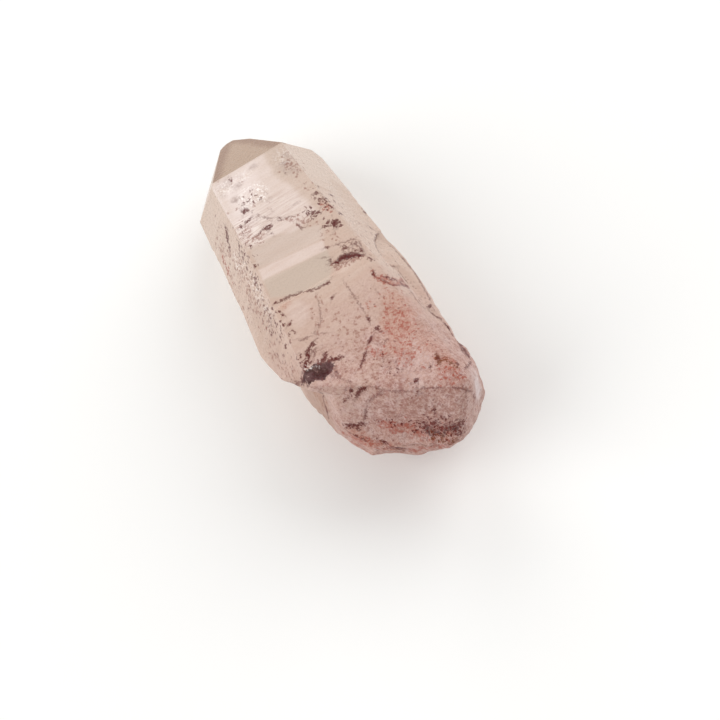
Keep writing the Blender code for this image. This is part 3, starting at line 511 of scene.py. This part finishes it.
    ((12.7, -79.4, 2.9), (12.6, -79.8, 3.0), 0.1, 2, (-0.8, -1.4, 0.2), 0.13, 2),
    ((13.1, -80.1, 3.0), (12.9, -80.5, 3.1), 0.1, 2, (-0.6, -1.2, 0.2), 0.13, 2),
    ((13.5, -80.7, 3.1), (13.3, -81.1, 3.1), 0.1, 2, (-0.8, -1.4, 0.2), 0.13, 2),
    ((13.8, -81.4, 3.1), (13.7, -81.7, 3.2), 0.1, 2, (-0.7, -1.5, 0.9), 0.13, 2),
    ((11.8, -77.2, 2.5), (14.5, -80.9, 1.8), 0.2, 10, (0.2, -0.5, 0.1), 0.12, 2),
    # more needles on the low rim, round the dark patch and in the root
    ((-14.9, -75.5, -9.8), (-12.2, -79.6, -10.9), 0.6, 30, (0.2, -0.4, -0.4), 0.14, 0),
    ((-8.9, -82.8, -11.3), (-5.3, -84.6, -15.8), 0.5, 24, (0.4, -0.2, -0.9), 0.14, 0),
    ((2.3, -87.9, -7.8), (0.8, -89.5, -11.2), 0.6, 26, (-0.1, -0.5, -0.3), 0.14, 2),
    ((-17.3, -62.9, -0.6), (-11.2, -66.0, 1.3), 0.5, 26, (0.0, -0.7, 0.0), 0.13, 0),
    ((-9.8, -63.3, 1.3), (-11.4, -66.2, 1.3), 0.5, 18, (0.4, -0.6, 0.0), 0.13, 0),
    ((11.5, -78.1, 2.7), (14.5, -80.9, 1.8), 0.8, 22, (-0.3, -0.7, 0.1), 0.12, 1),
    ((-7.4, -79.3, -5.9), (1.8, -86.4, -6.5), 0.9, 46, (0.5, -0.4, -0.1), 0.1, 0),
    ((10.9, -51.9, 1.5), (16.5, -52.8, -6.2), 0.2, 24, (-0.6, -1.7, 1.4), 0.12, 1),
    ((0.7, -68.2, 1.9), (2.2, -76.7, 2.0), 1.8, 26, (0.1, -0.6, 0.0), 0.1, 0),
]
# the corners have moved, so they are read and sorted again
places = read_places()
normals = read_normals()
surface = BVHTree.FromObject(point, bpy.context.evaluated_depsgraph_get())
by_length = np.argsort(places[:, 1], kind="stable")
lengths = places[by_length, 1]

# a film is kept as its signed distance, so that it can be thinner than the net; 5 mm where none is near
near = np.full(count, 5.0)
side = np.full(count, 5.0)
width = np.full(count, 0.2)
for half_width, route in IRON_FILMS:
    for run, close, offset, thin in stretches(half_width, route, 2.0):
        distance = np.linalg.norm(offset, axis=1)
        across = np.cross(run / np.linalg.norm(run), normals[close])
        better = distance < near[close]
        chosen = close[better]
        near[chosen] = distance[better]
        side[chosen] = (offset * across).sum(1)[better]
        width[chosen] = thin[better]
side = np.clip(side, -5, 5)

# a needle is kept as the distance outside its rim; 3 mm where none is near
needles = [np.full(count, 3.0) for _ in range(4)]
dice = random.Random(4)
for start, end, scatter, number, usual, half_width, kind in NEEDLE_TUFTS:
    for _ in range(number):
        centre = Vector(start).lerp(Vector(end), dice.random())
        centre += Vector([dice.gauss(0, scatter / 2) for _ in range(3)])
        spot, facing, _, _ = surface.find_nearest((centre + TIP_EDGE) * MM)
        spot = spot / MM - TIP_EDGE
        run = Matrix.Rotation(dice.gauss(0, 0.5), 3, facing) @ Vector(usual) * dice.uniform(0.35, 1.1)
        bow = run.cross(facing) * dice.gauss(0, 0.15)
        route = [surface.find_nearest((spot + step + TIP_EDGE) * MM)[0] / MM - TIP_EDGE
                 for step in (-run / 2, bow, run / 2)]
        for _, close, offset, thin in stretches(half_width * dice.uniform(0.7, 1.25) + 0.05, route, 0.25):
            rim_gap = np.linalg.norm(offset, axis=1) - thin
            needles[kind][close] = np.minimum(needles[kind][close], rim_gap)
for half_width, route in RUST_FILMS:
    for _, close, offset, thin in stretches(half_width, route, 1.0):
        needles[1][close] = np.minimum(needles[1][close], np.linalg.norm(offset, axis=1) - thin)

# The body's tones and marks are kept as masks on its corners; the material colours them in.
up = ramp(0.6, 0.85, normals[:, 2])
before_tip = ramp(0.3, -0.2, places[:, 1])
sway = np.stack([rumple(places, 2.5, 5), rumple(places, 2.5, 6)], axis=1)


def patch(outline, softness, ragged=1.0):
    """One inside an outline drawn on the surface as seen from above, with a soft, ragged rim."""
    spots = places[:, :2] + sway * ragged
    inside = np.zeros(count, bool)
    nearest = np.full(count, 99.0)
    for (ax, ay), (bx, by) in zip(outline, outline[1:] + outline[:1]):
        run = np.array((bx - ax, by - ay))
        share = np.clip((spots - (ax, ay)) @ run / (run @ run), 0, 1)
        nearest = np.minimum(nearest, np.linalg.norm(spots - (ax, ay) - share[:, None] * run, axis=1))
        crosses = (spots[:, 1] < ay) != (spots[:, 1] < by)
        height = (spots[:, 1] - ay) / (by - ay if by != ay else 1)
        inside ^= crosses & (spots[:, 0] < ax + height * (bx - ax))
    return ramp(-softness, softness, np.where(inside, nearest, -nearest)) * (places[:, 2] > -20)


def blob(centre, radii):
    """One in the middle of an ellipsoid and nothing outside it."""
    return ramp(1.0, 0.4, np.linalg.norm((places - np.array(centre)) / np.array(radii), axis=1))


def gap_to(route, reach):
    """The distance in mm from a line within its reach, and a large one elsewhere."""
    gap = np.full(count, 99.0)
    for start, end in zip(route, route[1:]):
        close, offset, _ = reach_of(start, end, reach)
        gap[close] = np.minimum(gap[close], np.linalg.norm(offset, axis=1))
    return gap


# the etched bright field behind the tip and the band below it, pale with a painted sheen of reflected light,
# and a painted highlight along its left edge
upper_band = patch([(-11.1, -23.6), (-4.5, -24.9), (1.8, -26.7), (6.6, -28.6), (5.5, -32.7), (-3.2, -31.5),
                    (-11.8, -30.4), (-11.7, -27.1)], 0.5, 0.2)
pale = np.maximum.reduce([
    0.55 * up * before_tip * patch([(-10.3, 0.4), (5.0, 0.4), (4.2, -6.4), (6.0, -15.0), (7.7, -24.2),
                                    (1.8, -26.7), (-4.5, -24.9), (-11.1, -23.6), (-13.0, -19.6),
                                    (-12.0, -10.3)], 1.0, 0.6),
    0.95 * up * before_tip * patch([(-10.4, 1.5), (2.5, 1.5), (1.8, -7.0), (-2.5, -13.0), (-7.5, -23.8),
                                    (-12.9, -20.0), (-12.0, -10.3)], 4.5, 2.0),
    0.5 * up * patch([(-12.4, -30.6), (-3.3, -31.8), (4.9, -32.9), (4.2, -36.0), (-3.8, -35.0),
                      (-12.8, -34.0)], 0.35, 0.1),
    0.22 * up * upper_band,
    0.22 * patch([(-10.5, -43.5), (-7.2, -45.6), (-7.5, -48.8), (-11.1, -51.8), (-12.5, -48.8),
                  (-12.2, -45.7)], 1.2, 1.0),
])
# a painted highlight along the edge between the upper face and the left face
painted_edge_highlight = [(-10.9, -0.9, -0.5), (-11.1, -7.8, 0.2), (-11.4, -13.6, 0.4)]
pale = np.maximum(pale, 0.75 * ramp(1.1, 0.3, gap_to(painted_edge_highlight, 1.5)))
# the smooth tan bands, and the tan corner by the tip
tan = up * np.maximum.reduce([
    0.5 * upper_band,
    patch([(-12.6, -34.0), (-4.0, -35.2), (4.4, -36.1), (3.8, -39.8), (1.1, -43.9), (-2.4, -44.4),
           (-6.0, -43.3), (-9.3, -41.9), (-13.5, -39.5)], 0.5, 0.2),
    0.25 * patch([(5.0, 0.3), (10.6, 0.3), (11.0, -8.0), (9.0, -12.0), (6.5, -11.0), (4.4, -7.0)], 0.9),
])
# the dark patch, its tail, the lens-shaped mark by the right edge, and brown clusters on the end
soot = np.maximum.reduce([
    patch([(-14.5, -62.3), (-13.2, -61.6), (-12.2, -62.1), (-11.4, -62.3), (-10.1, -62.8), (-9.5, -64.0),
           (-10.6, -64.9), (-10.9, -66.1), (-12.3, -66.2), (-14.1, -65.9), (-15.8, -65.6), (-17.0, -65.2),
           (-17.7, -63.5), (-17.6, -62.3), (-16.2, -62.4)], 0.7, 1.1) * ramp(-5, -2.5, places[:, 2]),
    0.36 * patch([(-10.4, -62.8), (-9.5, -65.4), (-8.3, -70.4), (-9.7, -68.5), (-11.6, -65.7)], 0.7),
    0.46 * up * patch([(2.8, -39.9), (4.9, -39.8), (6.9, -39.8), (8.6, -40.4), (10.1, -41.5), (11.7, -43.7),
                       (9.5, -42.6), (7.8, -41.9), (6.2, -41.4), (4.4, -40.7)], 0.3, 0.15),
    0.42 * patch([(0.8, -85.2), (4.0, -88.5), (8.6, -91.0), (6.5, -92.3), (2.5, -90.0), (-0.1, -87.5)], 1.2),
])
# rust on the right of the root, in the trough, along the low rim, and in spots
rust = np.maximum.reduce([
    0.85 * patch([(9.3, -56.1), (13.1, -56.9), (15.6, -58.4), (11.9, -67.4), (7.4, -72.4), (3.8, -73.1),
                  (2.6, -69.7), (5.0, -62.3)], 2.0, 2.0),
    0.12 * patch([(10.6, -79.8), (13.8, -82.4), (12.9, -87.2), (8.5, -85.3), (8.1, -82.0)], 1.5),
    patch([(-6.4, -80.3), (-0.5, -84.8), (-0.7, -85.7), (-6.9, -81.4)], 1.0, 1.5),
    patch([(-15.2, -75.9), (-14.0, -78.3), (-11.6, -81.4), (-6.4, -84.1), (-0.3, -88.4), (5.5, -91.9),
           (5.4, -90.9), (0.3, -89.0), (-5.7, -84.9), (-10.6, -80.4), (-13.4, -76.5)], 0.8, 1.2),
    0.8 * patch([(10.0, -22.3), (11.3, -23.6), (11.6, -25.1), (9.8, -24.8)], 0.7),
    blob((-13.6, -78.0, -10.0), (4, 4, 4)), blob((12.8, -80.1, 3.0), (2.5, 4.2, 4.5)),
    blob((-7.0, -84.0, -13.5), (5, 4, 3)), 0.45 * blob((12.2, -72.5, 1.8), (5, 11, 6)),
    0.8 * blob((-11.5, -44.0, 0.6), (2.6, 1.4, 2)),
])
flecks = np.maximum.reduce([
    0.6 * blob((-15.0, -14.0, -5.0), (5, 16, 7)), blob((-17.0, -32.0, -5.0), (6, 20, 9)),
    blob((-18.0, -50.0, -4.0), (7, 18, 9)), 0.6 * blob((-12.0, -22.0, 0.0), (3, 12, 4)),
    0.5 * blob((16.0, -40.0, -8.0), (7, 30, 9)), 0.5 * blob((10.0, -23.0, 0.0), (6, 9, 4)),
])
chip = blob((17.5, -84.5, -8.0), (4, 5, 11))
# the lobe's own tan, and a painted shade over the lower half of the left face
lobe = np.maximum(0.6 * blob((-17.7, -63.0, -14.0), (8, 10, 17)),
                  0.22 * blob((-18.5, -43.0, -7.0), (8, 16, 9)))
# the tip's uppermost face is painted a darker tan, painted shade for the dimmer look of its clearer body, and
# darker along its rim; the faces round it less so
tip_rim = [(-9.7, 1.1, -0.9), (-6.5, 10.1, -8.0), (-2.8, 20.0, -15.7), (0.6, 26.7, -21.0), (2.5, 26.2, -20.6),
           (4.8, 21.1, -16.6), (6.7, 12.5, -9.8), (8.4, 4.9, -3.9), (9.6, -0.6, 0.0)]
corner, apex, far_corner = (np.array(tip_rim[spot]) for spot in (0, 3, 8))
tip_normal = np.cross(far_corner - corner, apex - corner)
tip_normal /= np.linalg.norm(tip_normal)
top_tip = ramp(1.2, 0.2, np.abs((places - corner) @ tip_normal)) * ramp(-0.4, 0.6, places[:, 1])
tip = np.maximum(top_tip, 0.42 * ramp(-5, 16, places[:, 1] + 3 * rumple(places, 6.0, 10)))
rim = ramp(3.2, 0.4, gap_to(tip_rim, 5.0) + 0.7 * rumple(places, 3.0, 8))
rim *= np.maximum(top_tip, 0.25) * ramp(0, 1, places[:, 1])
# painted glints, white highlights painted in etched places; smoky spots under the etched field and by the
# right edge
painted_glint = np.maximum.reduce([
    0.7 * blob((-8.5, -3.5, 0.3), (4.5, 3.0, 3)), 0.5 * blob((-3.0, -3.0, 0.3), (4.0, 2.5, 3)),
    1.6 * blob((-3.2, -10.0, 0.3), (5, 4.8, 3)), 0.8 * blob((-15.2, -21.5, -6.0), (2, 4, 4)),
    0.9 * blob((-14.6, -61.7, 1.2), (1.6, 1.2, 2)), 0.9 * blob((-12.2, -62.6, 1.2), (1.5, 1.1, 2)),
    0.25 * blob((8.0, -74.0, 2.0), (3, 9, 3)), 0.5 * blob((-15.5, -31.0, -2.5), (2.5, 18, 4)),
    0.2 * blob((3.5, -79.5, 1.0), (3, 5, 4)), 0.4 * blob((9.0, -4.0, 0.0), (4, 4, 4)),
])
smoke = up * np.maximum.reduce([
    blob((-7.6, -8.3, 0.3), (2.2, 1.6, 3)), 0.8 * blob((-4.8, -4.5, 0.3), (2.0, 1.5, 3)),
    0.7 * blob((1.0, -2.0, 0.3), (2.5, 1.2, 3)), blob((9.0, -5.5, 0.0), (3.0, 3.2, 4)),
    0.5 * blob((9.5, -6.5, 0.0), (5.0, 7.0, 5)), 0.6 * blob((-0.5, -14.0, 0.3), (1.4, 1.0, 3)),
    0.6 * blob((-7.0, -3.5, 0.3), (5.5, 4.0, 3)),
])
# hair-fine ridges across the lower half of the etched field, painted as pale highlights and dark shade
painted_ridge_shading = up * np.maximum(blob((-8.5, -19.0, 0.5), (9, 7, 4)), 0.5 * blob((1.0, -18.0, 0.5), (10, 8, 4)))

masks = {"line_near": near, "line_side": side, "line_width": width, "pale": pale, "tan": tan, "soot": soot,
         "rust": rust, "flecks": flecks, "chip": chip, "lobe": lobe, "tip": tip, "rim": rim, "painted_glint": painted_glint,
         "smoke": smoke, "painted_ridge_shading": painted_ridge_shading, "needle_dark": needles[0], "needle_rust": needles[1],
         "needle_olive": needles[2], "needle_faint": needles[3]}
for name, values in masks.items():
    attribute = point.data.attributes.new(name, "FLOAT", "POINT")
    attribute.data.foreach_set("value", values.astype(np.float32))

select_only(point)
bpy.ops.object.shade_smooth_by_angle(angle=math.radians(28))


def tint(code):
    """An sRGB hex colour as linear values."""
    parts = [int(code[start:start + 2], 16) / 255 for start in (1, 3, 5)]
    return [part / 12.92 if part <= 0.04045 else ((part + 0.055) / 1.055) ** 2.4 for part in parts] + [1.0]


# Milky pink quartz: silica with fine iron-oxide and clay films in it. The prism faces are naturally
# glossy and carry growth lines; the milkiness scatters light, so shadows are weak and colours soft.
quartz = bpy.data.materials.new("milky_pink_quartz")
quartz.use_nodes = True
tree = quartz.node_tree
tree.nodes.clear()


def add_node(kind, settings, inputs, output=0):
    """Add a node with its settings, and give one of its outputs; each input gets a value or a link."""
    node = tree.nodes.new("ShaderNode" + kind)
    for name, value in settings.items():
        setattr(node, name, value)
    for socket, value in inputs.items():
        if isinstance(value, bpy.types.NodeSocket):
            tree.links.new(value, node.inputs[socket])
        else:
            node.inputs[socket].default_value = value
    return node.outputs[output] if node.outputs else None


# settings that many of the nodes share
OF_COLOURS = {"data_type": "RGBA"}
EASED = {"interpolation_type": "SMOOTHSTEP"}
PLUS, MINUS, TIMES, TIMES_PLUS, ABSOLUTE, BELOW = ({"operation": sort} for sort in (
    "ADD", "SUBTRACT", "MULTIPLY", "MULTIPLY_ADD", "ABSOLUTE", "LESS_THAN"))

place = add_node("TexCoord", {}, {}, "Object")
in_mm = add_node("Mapping", {}, {"Vector": place, "Scale": (1000, 1000, 1000)})
along = add_node("SeparateXYZ", {}, {"Vector": in_mm}, "Y")
mask = {name: add_node("Attribute", {"attribute_name": name}, {}, "Fac") for name in masks}
# clouds 10 mm across, blotches of 2 mm, grains of 0.7 mm and of 0.3 mm, and streaks across the crystal
clouds = add_node("TexNoise", {}, {"Vector": in_mm, "Scale": 0.1, "Detail": 4, "Roughness": 0.55})
blotch = add_node("TexNoise", {}, {"Vector": in_mm, "Scale": 0.45, "Detail": 5, "Roughness": 0.7})
grain = add_node("TexNoise", {}, {"Vector": in_mm, "Scale": 1.4, "Detail": 4, "Roughness": 0.75})
fine = add_node("TexNoise", {}, {"Vector": in_mm, "Scale": 3.2, "Detail": 3, "Roughness": 0.65})
across = add_node("Mapping", {}, {"Vector": in_mm, "Scale": (0.11, 0.7, 0.11)})
streaks = add_node("TexNoise", {}, {"Vector": across, "Scale": 1.0, "Detail": 4, "Roughness": 0.7})
# the prism is creamy tan, the root mauve and the change cloudy; the tip is painted a darker tan as shade
cloudy_along = add_node("Math", TIMES_PLUS, {0: clouds, 1: 30.0, 2: along})
rootward = add_node("MapRange", EASED, {"Value": cloudy_along, "From Min": 8.0, "From Max": -36.0})
tipward = add_node("MapRange", EASED, {"Value": along, "From Min": 32.0, "From Max": 33.6})
midward = add_node("MapRange", EASED, {"Value": cloudy_along, "From Min": 50.0, "From Max": 0.0})
colour = add_node("Mix", OF_COLOURS, {0: midward, 6: tint("#d7c1b2"), 7: tint("#ceb2a2")}, 2)
# the layers of colour that lie over it, from the lowest up, each as its share and its tone
layers = [(rootward, "#be988d"), (mask["tip"], "#a8866a"), (mask["rim"], "#8c6141")]
# pale streaks on the growth faces, pale clouds in the root, and a fine reddish mottle that grows rootwards
off_root = add_node("Math", MINUS, {0: 1.0, 1: rootward})
off_tip = add_node("Math", MINUS, {0: 1.0, 1: tipward})
veil = add_node("MapRange", {}, {"Value": streaks, "From Min": 0.45, "From Max": 0.7, "To Max": 0.4})
veil = add_node("Math", TIMES, {0: veil, 1: off_root})
veil = add_node("Math", TIMES, {0: veil, 1: off_tip})
cloud = add_node("MapRange", {}, {"Value": blotch, "From Min": 0.47, "From Max": 0.6, "To Max": 0.65})
cloud = add_node("Math", TIMES, {0: cloud, 1: rootward})
mottle = add_node("MapRange", {}, {"Value": grain, "From Min": 0.49, "From Max": 0.6, "To Max": 0.8})
mottle_share = add_node("MapRange", {}, {"Value": rootward, "To Min": 0.03, "To Max": 0.8})
mottle = add_node("Math", TIMES, {0: mottle, 1: mottle_share})
# a web of hair-fine healed cracks in the root
web = add_node("TexNoise", {}, {"Vector": in_mm, "Scale": 0.3, "Detail": 5, "Roughness": 0.6,
                                "Distortion": 0.8})
web = add_node("Math", MINUS, {0: web, 1: 0.5})
web = add_node("Math", ABSOLUTE, {0: web})
web = add_node("MapRange", EASED, {"Value": web, "From Min": 0.014, "From Max": 0.003, "To Max": 0.55})
web = add_node("Math", TIMES, {0: web, 1: rootward})
web = add_node("Math", TIMES, {0: web, 1: blotch})
layers += [(veil, "#dcc8bc"), (cloud, "#d8bdb6"), (mottle, "#96605a"), (web, "#7d4a45")]
# a patchy stipple of 0.5 mm grains, pale and dark, strongest at the root and none on the tip
stipple = add_node("TexNoise", {}, {"Vector": in_mm, "Scale": 2.0, "Detail": 2, "Roughness": 0.6})
stippled = add_node("MapRange", {}, {"Value": rootward, "To Min": 0.3})
stippled = add_node("Math", TIMES, {0: stippled, 1: off_tip})
patchy = add_node("MapRange", {}, {"Value": blotch, "From Min": 0.62, "From Max": 0.4})
stippled = add_node("Math", TIMES, {0: stippled, 1: patchy})
for low, high, code in ((0.53, 0.62, "#e9d5cc"), (0.47, 0.38, "#8f6157")):
    speck = add_node("MapRange", {}, {"Value": stipple, "From Min": low, "From Max": high, "To Max": 0.32})
    speck = add_node("Math", TIMES, {0: speck, 1: stippled})
    layers.append((speck, code))
# the smooth tan bands, then the etched bright field and band, pale with a painted sheen, with hair-fine
# ridges 0.4 mm apart painted as highlight and shade
field_with_painted_sheen = add_node("MapRange", {}, {"Value": streaks, "From Min": 0.36, "From Max": 0.56, "To Min": 0.68})
field_with_painted_sheen = add_node("Math", TIMES, {0: field_with_painted_sheen, 1: mask["pale"]})
layers += [(mask["tan"], "#cdb9aa"), (field_with_painted_sheen, "#ecdcd6")]
ridged = add_node("Mapping", {}, {"Vector": in_mm, "Scale": (0.2, 2.5, 0.2)})
ridged = add_node("TexNoise", {}, {"Vector": ridged, "Scale": 1.0, "Detail": 2, "Roughness": 0.6})
# dark and pale stripes: painted shade and painted highlight of the ridges
for low, high, code in ((0.52, 0.6, "#b5948c"), (0.48, 0.4, "#fdf1ea")):
    ridge_stripe = add_node("MapRange", {}, {"Value": ridged, "From Min": low, "From Max": high, "To Max": 0.42})
    ridge_stripe = add_node("Math", TIMES, {0: ridge_stripe, 1: mask["painted_ridge_shading"]})
    layers.append((ridge_stripe, code))
# smoky spots, a pale chipped flake, the tan lobe with painted shade down the left face, then a wash of iron
# oxide and its winding trails
hazy = add_node("MapRange", {}, {"Value": blotch, "From Min": 0.42, "From Max": 0.6, "To Max": 0.75})
hazy = add_node("Math", TIMES, {0: hazy, 1: mask["smoke"]})
flake = add_node("MapRange", {}, {"Value": blotch, "From Min": 0.4, "From Max": 0.6, "To Min": 0.3})
flake = add_node("Math", TIMES, {0: flake, 1: mask["chip"]})
wash = add_node("Math", TIMES, {0: mask["rust"], 1: 0.27})
trail = add_node("TexNoise", {}, {"Vector": in_mm, "Scale": 0.95, "Detail": 2, "Distortion": 0.9})
trail = add_node("Math", MINUS, {0: trail, 1: 0.5})
trail = add_node("Math", ABSOLUTE, {0: trail})
trail = add_node("MapRange", EASED, {"Value": trail, "From Min": 0.04, "From Max": 0.01, "To Max": 0.6})
trail = add_node("Math", TIMES, {0: trail, 1: mask["rust"]})
layers += [(hazy, "#a79089"), (flake, "#e0d0cf"), (mask["lobe"], "#a6826f"), (wash, "#bd8269"),
           (trail, "#a45440")]
# ticks 0.25 mm wide and 0.8 mm long lie along the crystal in drifts; in the root they lie anyhow
drift = add_node("TexNoise", {}, {"Vector": in_mm, "Scale": 0.7, "Detail": 2}, "Color")
drift = add_node("VectorMath", TIMES_PLUS, {0: drift, 1: (1.8, 1.8, 1.8), 2: in_mm})
root_ticks = add_node("Math", TIMES, {0: rootward, 1: 0.45})
for scale, where in (((0.95, 0.38, 0.8), mask["flecks"]), ((1.5, 0.6, 1.2), mask["flecks"]),
                     ((0.75, 1.2, 1.0), root_ticks)):
    stretched = add_node("Mapping", {}, {"Vector": drift, "Scale": scale})
    off_centre = add_node("TexVoronoi", {"feature": "F1"}, {"Vector": stretched, "Scale": 1.0})
    lot = add_node("SeparateXYZ", {}, {"Vector": off_centre.node.outputs["Color"]}, "X")
    chance = add_node("Math", TIMES, {0: where, 1: blotch})
    chance = add_node("Math", TIMES, {0: chance, 1: 1.5})
    chosen = add_node("Math", BELOW, {0: lot, 1: chance})
    tick = add_node("MapRange", EASED, {"Value": off_centre, "From Min": 0.3, "From Max": 0.14,
                                        "To Max": 0.66})
    tick = add_node("Math", TIMES, {0: tick, 1: chosen})
    layers.append((tick, "#74443f"))
# needles; rims of all marks wander by a quarter of a millimetre
wander = add_node("Math", TIMES_PLUS, {0: grain, 1: 2.6, 2: -1.3})
for name, code, most in (("needle_faint", "#8e5648", 0.6), ("needle_rust", "#9e4633", 0.72),
                         ("needle_olive", "#703610", 0.84), ("needle_dark", "#5a100e", 0.86)):
    gap = add_node("Math", PLUS, {0: mask[name], 1: wander})
    needle = add_node("MapRange", EASED, {"Value": gap, "From Min": 0.16, "From Max": -0.14, "To Max": most})
    layers.append((needle, code))
# the dark patch and brown clusters break up into grains at their rims
sooty = add_node("Math", TIMES_PLUS, {0: grain, 1: 3.6, 2: -1.8})
sooty = add_node("Math", PLUS, {0: sooty, 1: mask["soot"]})
sooty = add_node("MapRange", EASED, {"Value": sooty, "From Min": 0.35, "From Max": 0.65, "To Max": 0.92})
held = add_node("MapRange", EASED, {"Value": mask["soot"], "From Min": 0.0, "From Max": 0.5})
sooty = add_node("Math", TIMES, {0: sooty, 1: held})
soot_tone = add_node("MapRange", {}, {"Value": blotch, "From Min": 0.42, "From Max": 0.6})
soot_tone = add_node("Mix", OF_COLOURS, {0: soot_tone, 6: tint("#34080c"), 7: tint("#5e3f41")}, 2)
layers.append((sooty, soot_tone))
# cracks and iron films along lines come and go, and narrow ones are fainter
off_line = add_node("Math", PLUS, {0: mask["line_side"], 1: wander})
off_line = add_node("Math", ABSOLUTE, {0: off_line})
off_line = add_node("Math", MINUS, {0: off_line, 1: mask["line_width"]})
line = add_node("MapRange", EASED, {"Value": off_line, "From Min": 0.2, "From Max": -0.08})
beside = add_node("MapRange", EASED, {"Value": mask["line_near"], "From Min": 1.1, "From Max": 0.7})
comes = add_node("MapRange", {}, {"Value": fine, "From Min": 0.35, "From Max": 0.52, "To Min": 0.5})
deep = add_node("MapRange", {}, {"Value": mask["line_width"], "From Min": 0.08, "From Max": 0.32,
                                 "To Min": 0.3, "To Max": 0.92})
for share in (beside, comes, deep):
    line = add_node("Math", TIMES, {0: line, 1: share})
# painted glints: tiny white highlights 0.3 to 0.5 mm across, painted in etched places
painted_glinting = add_node("MapRange", EASED, {"Value": grain, "From Min": 0.535, "From Max": 0.575})
painted_glinting = add_node("Math", TIMES, {0: painted_glinting, 1: mask["painted_glint"]})
layers += [(line, "#560c0b"), (painted_glinting, "#fff6f0")]
for share, tone in layers:
    tone = tint(tone) if isinstance(tone, str) else tone
    colour = add_node("Mix", OF_COLOURS, {0: share, 6: colour, 7: tone}, 2)

# glossy growth faces, a duller root and dark patch; a little clearer towards the tip, but not on the etched
# field with its painted sheen
dull = add_node("MapRange", {}, {"Value": rootward, "To Min": 0.18, "To Max": 0.42})
gloss = add_node("Math", TIMES_PLUS, {0: grain, 1: 0.2, 2: dull})
gloss = add_node("Math", TIMES_PLUS, {0: mask["soot"], 1: 0.35, 2: gloss})
clear = add_node("MapRange", EASED, {"Value": cloudy_along, "From Min": -20.0, "From Max": 50.0,
                                     "To Min": 0.03, "To Max": 0.1})
unetched = add_node("Math", TIMES_PLUS, {0: mask["pale"], 1: -0.75, 2: 1.0})
clear = add_node("Math", TIMES, {0: clear, 1: unetched})
rough_share = add_node("MapRange", {}, {"Value": rootward, "To Min": 0.08})
height = add_node("TexNoise", {}, {"Vector": in_mm, "Scale": 1.7, "Detail": 2, "Roughness": 0.5})
height = add_node("Math", TIMES, {0: height, 1: rough_share})
bump = add_node("Bump", {}, {"Height": height, "Strength": 0.8, "Distance": 0.0001})
shader = add_node("BsdfPrincipled", {}, {"Base Color": colour, "Roughness": gloss, "Normal": bump,
                                         "Transmission Weight": clear, "IOR": 1.544,
                                         "Specular IOR Level": 0.18})
inside = add_node("VolumeAbsorption", {}, {"Color": tint("#e3b9ae"), "Density": 22.0})
add_node("OutputMaterial", {}, {"Surface": shader, "Volume": inside})
point.data.materials.clear()
point.data.materials.append(quartz)
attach(point, "root")
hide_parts("quartz_crystal")


# --- The table ---------------------------------------------------------------------------------
# A plain table top of matt white laminate, on which the crystal lies loose; it is wide enough to
# fill the view from above.

bpy.ops.object.select_all(action="DESELECT")
bpy.ops.mesh.primitive_plane_add(size=6.0, location=(0, 0, 0))
table_top = bpy.context.object
table_top.name = "table_top"
laminate = bpy.data.materials.new("matt_white_laminate")
laminate.use_nodes = True
laminate.node_tree.nodes["Principled BSDF"].inputs["Base Color"].default_value = tint("#fafaf9")
laminate.node_tree.nodes["Principled BSDF"].inputs["Roughness"].default_value = 0.7
table_top.data.materials.append(laminate)


# --- Light and camera --------------------------------------------------------------------------
# Soft daylight from all round, and three broad lamps, on both sides and behind, that lift the side
# faces. The camera stands beyond the root and looks down steeply.

room = bpy.data.worlds.new("pale_room")
bpy.context.scene.world = room
room.use_nodes = True
room.node_tree.nodes["Background"].inputs["Color"].default_value = tint("#fbfaf8")
room.node_tree.nodes["Background"].inputs["Strength"].default_value = 0.5


def broad_lamp(name, bearing, height, strength, spread):
    """A far lamp: its bearing is turned from +Y towards +X, its height is above the table."""
    lamp = bpy.data.lights.new(name, "SUN")
    lamp.energy = strength
    lamp.angle = math.radians(spread)
    holder = bpy.data.objects.new(name, lamp)
    bpy.context.scene.collection.objects.link(holder)
    bearing, height = math.radians(bearing), math.radians(height)
    level = math.cos(height)
    towards = Vector((math.sin(bearing) * level, math.cos(bearing) * level, math.sin(height)))
    holder.rotation_euler = towards.to_track_quat("Z", "Y").to_euler()


broad_lamp("left_lamp", -80, 36, 1.36, 50)
broad_lamp("right_lamp", 75, 36, 1.21, 50)
broad_lamp("back_lamp", 5, 32, 0.7, 40)

camera_data = bpy.data.cameras.new("camera")
camera_data.sensor_width = 36.0
camera_data.lens = 57.5  # a view 35 degrees wide
camera = bpy.data.objects.new("camera", camera_data)
bpy.context.scene.collection.objects.link(camera)
camera.location = (-0.02137, -0.15820, 0.27038)
# its turn about the upright, its lean from straight down, and its roll
swing, lean, roll = (math.radians(angle) for angle in (-8.391, 28.125, -23.930))
aim = Matrix.Rotation(swing, 3, "Z") @ Matrix.Rotation(lean, 3, "X") @ Matrix.Rotation(roll, 3, "Z")
camera.rotation_euler = aim.to_euler()
bpy.context.scene.camera = camera
bpy.context.scene.view_settings.view_transform = "Standard"
